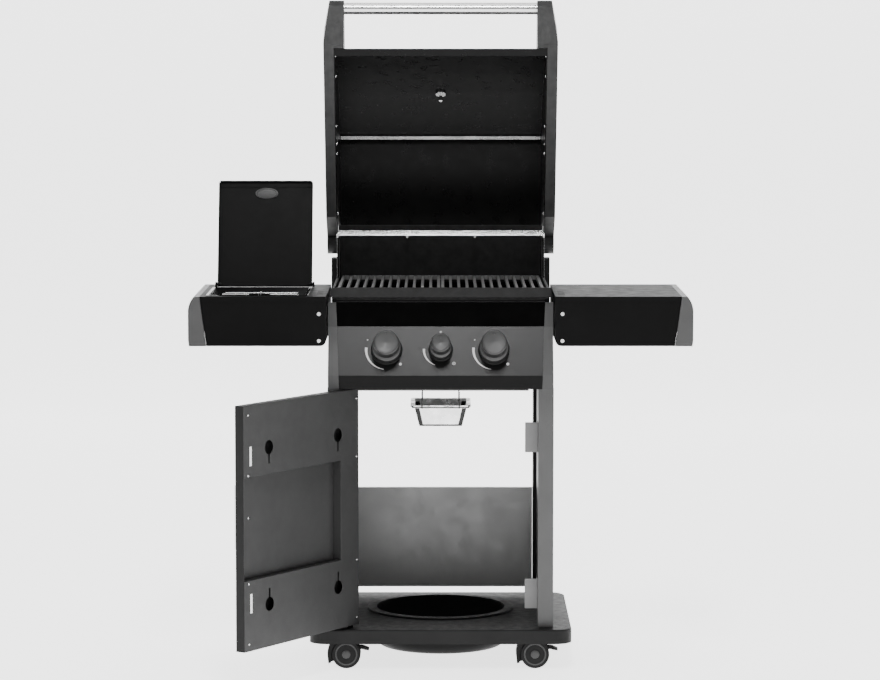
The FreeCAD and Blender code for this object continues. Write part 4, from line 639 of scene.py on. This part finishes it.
def door_details():
    """Striker plates and screws on the door's inner face."""
    bm = bmesh.new()
    for foot in STRIKER_FEET:
        low = (DOOR_EDGE_X + STRIKER_ACROSS[0], DOOR_FACE, foot)
        high = (DOOR_EDGE_X + STRIKER_ACROSS[1], DOOR_FACE + STRIKER_THICK, foot + STRIKER_TALL)
        slab(bm, low, high)
    piece("door_strikers", "door", "steel", bm, DOOR)
    bm = bmesh.new()
    for height in DOOR_SCREW_HEIGHTS:
        for across in DOOR_SCREW_ACROSS:
            dome(bm, (DOOR_EDGE_X + across, DOOR_FACE, height), (0, 1, 0), DOOR_SCREW_RADIUS)
    piece("door_screws", "door", "screw", bm, DOOR)


# The thermometer on the closed lid, its face and glass as outlines, and its ticks in degrees.
DIAL_SPOT = (0, FRONT + 0.191, 1.153)
DIAL_LEAN = math.radians(36.3)
DIAL_FACE = [(0.0016, 0.0091), (0.0355, 0.0091), (0.0355, 0.0097), (0.0016, 0.0097)]
DIAL_LENS = [(0, 0.0135), (0.0352, 0.0135), (0.0352, 0.0143), (0.02, 0.0147), (0, 0.0149)]
TICKS, TICK_START, TICK_SWEEP = 28, 225, 270
TICK_OUTER, TICK_LONG, TICK_SHORT = 0.034, 0.027, 0.030
TICK_HALF, TICK_LOW, TICK_HIGH, TICK_EDGE = 0.00045, 0.0098, 0.0101, 0.0001
LONG_EVERY = 3


def dial_details():
    """The thermometer's white face, ticks and glass."""
    place = LID @ Matrix.Translation(DIAL_SPOT) @ Matrix.Rotation(DIAL_LEAN, 4, "X")
    piece("dial_face", "lid", "dial", lathe(bmesh.new(), DIAL_FACE), place)
    bm = bmesh.new()
    for i in range(TICKS):
        angle = math.radians(TICK_START - TICK_SWEEP * i / (TICKS - 1))
        inner = TICK_LONG if i % LONG_EVERY == 0 else TICK_SHORT
        low, high = (inner, -TICK_HALF, TICK_LOW), (TICK_OUTER, TICK_HALF, TICK_HIGH)
        tick = slab(bmesh.new(), low, high, TICK_EDGE)
        tick.transform(Matrix.Rotation(angle, 4, "Z"))
        mesh = bpy.data.meshes.new("tick")
        tick.to_mesh(mesh)
        tick.free()
        bm.from_mesh(mesh)
        bpy.data.meshes.remove(mesh)
    piece("dial_ticks", "lid", "caster", bm, place)
    piece("dial_lens", "lid", "glass", lathe(bmesh.new(), DIAL_LENS, sides=64), place)


# Outlines on a wheel's face, as radius and height above the face.
WHEEL_RING = [(0.0235, -0.0004), (0.0275, -0.0004), (0.027, 0.0008), (0.024, 0.0008)]
WHEEL_CAP = [(0, -0.0004), (0.0105, -0.0004), (0.010, 0.0012), (0.006, 0.0020), (0, 0.0022)]


def wheel_details():
    """A raised ring and a hub cap on both faces of every caster."""
    for corner in CORNERS:
        low, high = (Vector(end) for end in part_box("caster_%s_wheels" % corner))
        middle = (low + high) / 2
        axle = Vector(JOINTS["wheels_%s_roll" % corner]["axis"])
        half = abs((high - low).dot(axle)) / 2
        bm = bmesh.new()
        for way in (axle, -axle):
            turn = way.to_track_quat("Z", "Y").to_matrix().to_4x4()
            place = Matrix.Translation(middle + way * half) @ turn
            lathe(bm, WHEEL_RING, place)
            lathe(bm, WHEEL_CAP, place)
        piece("wheel_hubs_" + corner, "wheels_" + corner, "hub", bm)


PAN_CORNER, PAN_ROLL = 0.016, 0.0014
QUARTER_STEPS, ROLL_SIDES = 8, 10


def pan_rim():
    """The rolled rim of the foil pan."""
    low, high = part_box("foil_pan")
    half_x, half_y = (high[0] - low[0]) / 2 - PAN_ROLL, (high[1] - low[1]) / 2 - PAN_ROLL
    middle_x, middle_y, height = (low[0] + high[0]) / 2, (low[1] + high[1]) / 2, high[2] - PAN_ROLL
    path = []
    for quarter, (side_x, side_y) in enumerate(((1, 1), (-1, 1), (-1, -1), (1, -1))):
        for i in range(QUARTER_STEPS + 1):
            angle = math.pi / 2 * (quarter + i / QUARTER_STEPS)
            x = middle_x + side_x * (half_x - PAN_CORNER) + PAN_CORNER * math.cos(angle)
            y = middle_y + side_y * (half_y - PAN_CORNER) + PAN_CORNER * math.sin(angle)
            path.append((x, y, angle))
    bm = bmesh.new()
    rings = []
    for x, y, angle in path:
        ring = []
        for i in range(ROLL_SIDES):
            around = 2 * math.pi * i / ROLL_SIDES
            away, up = PAN_ROLL * math.cos(around), PAN_ROLL * math.sin(around)
            spot = (x + away * math.cos(angle), y + away * math.sin(angle), height + up)
            ring.append(bm.verts.new(spot))
        rings.append(ring)
    for low_ring, high_ring in zip(rings, rings[1:] + rings[:1]):
        for i in range(ROLL_SIDES):
            j = (i + 1) % ROLL_SIDES
            bm.faces.new((low_ring[i], low_ring[j], high_ring[j], high_ring[i]))
    piece("foil_pan_rim", "foil_pan", "foil", bm)


console_marks()
lid_details()
vent_details()
flap_details()
door_details()
dial_details()
wheel_details()
pan_rim()


def light(name, spot, aim, size, power):
    """A soft rectangular lamp that points at a spot."""
    lamp = bpy.data.lights.new(name, "AREA")
    lamp.shape = "RECTANGLE"
    lamp.size, lamp.size_y = size
    lamp.energy = power
    item = bpy.data.objects.new(name, lamp)
    bpy.context.scene.collection.objects.link(item)
    item.location = spot
    item.rotation_euler = (Vector(aim) - Vector(spot)).to_track_quat("-Z", "Y").to_euler()


FLOOR_GLOW = 2.4
SKY_GLOW = 0.1


def studio():
    """A pale floor that curves up into a backdrop, four soft lights and an even sky."""
    bm = bmesh.new()
    half, near, far, bend, tall, steps = 14.0, -14.0, 5.0, 2.5, 9.0, 16
    profile = [(near, 0.0)]
    for i in range(steps + 1):
        angle = math.pi / 2 * i / steps
        profile.append((far + bend * math.sin(angle), bend * (1 - math.cos(angle))))
    profile.append((far + bend, tall))
    rows = [[bm.verts.new((x, y, z)) for x in (-half, half)] for y, z in profile]
    for low, high in zip(rows, rows[1:]):
        bm.faces.new((low[0], low[1], high[1], high[0]))
    mesh = bpy.data.meshes.new("floor")
    bm.to_mesh(mesh)
    bm.free()
    for face in mesh.polygons:
        face.use_smooth = True
    floor = bpy.data.objects.new("floor", mesh)
    bpy.context.scene.collection.objects.link(floor)
    paper = Finish("floor_paper", 0.8)
    paper.color(paper.blend(paper.remap(paper.noise(2.0), 0.0, 1.0), shade(0.86), shade(0.88)))
    paper.main.inputs["Emission Color"].default_value = (1, 1, 1, 1)
    paper.main.inputs["Emission Strength"].default_value = FLOOR_GLOW
    mesh.materials.append(paper.material)
    world = bpy.data.worlds.new("studio")
    world.use_nodes = True
    world.node_tree.nodes["Background"].inputs["Color"].default_value = (1, 1, 1, 1)
    world.node_tree.nodes["Background"].inputs["Strength"].default_value = SKY_GLOW
    bpy.context.scene.world = world
    light("key", (-3.2, -4.2, 4.6), (0, 0, 0.8), (3.0, 3.0), 75)
    light("fill", (3.6, -4.0, 2.8), (0, 0, 0.8), (3.0, 3.0), 38)
    light("top", (0, 0.4, 5.2), (0, 0, 0.8), (4.0, 3.0), 90)
    light("strip", (0, -2.6, 3.9), (0, -0.2, 0.8), (0.5, 1.4), 90)


SENSOR_WIDTH = 36.0
CAMERA_END = 60.0
CAMERA_SPOT = (-0.0016, -8.1121, 1.5403)
CAMERA_TILT = 5.272
CAMERA_LENS = 134.47


def camera():
    """A long lens at the height of the open lid, tilted down."""
    eye = bpy.data.cameras.new("camera")
    eye.lens = CAMERA_LENS
    eye.sensor_width = SENSOR_WIDTH
    eye.clip_end = CAMERA_END
    item = bpy.data.objects.new("camera", eye)
    bpy.context.scene.collection.objects.link(item)
    item.location = CAMERA_SPOT
    item.rotation_euler = (math.radians(90 - CAMERA_TILT), 0, 0)
    bpy.context.scene.camera = item


studio()
camera()
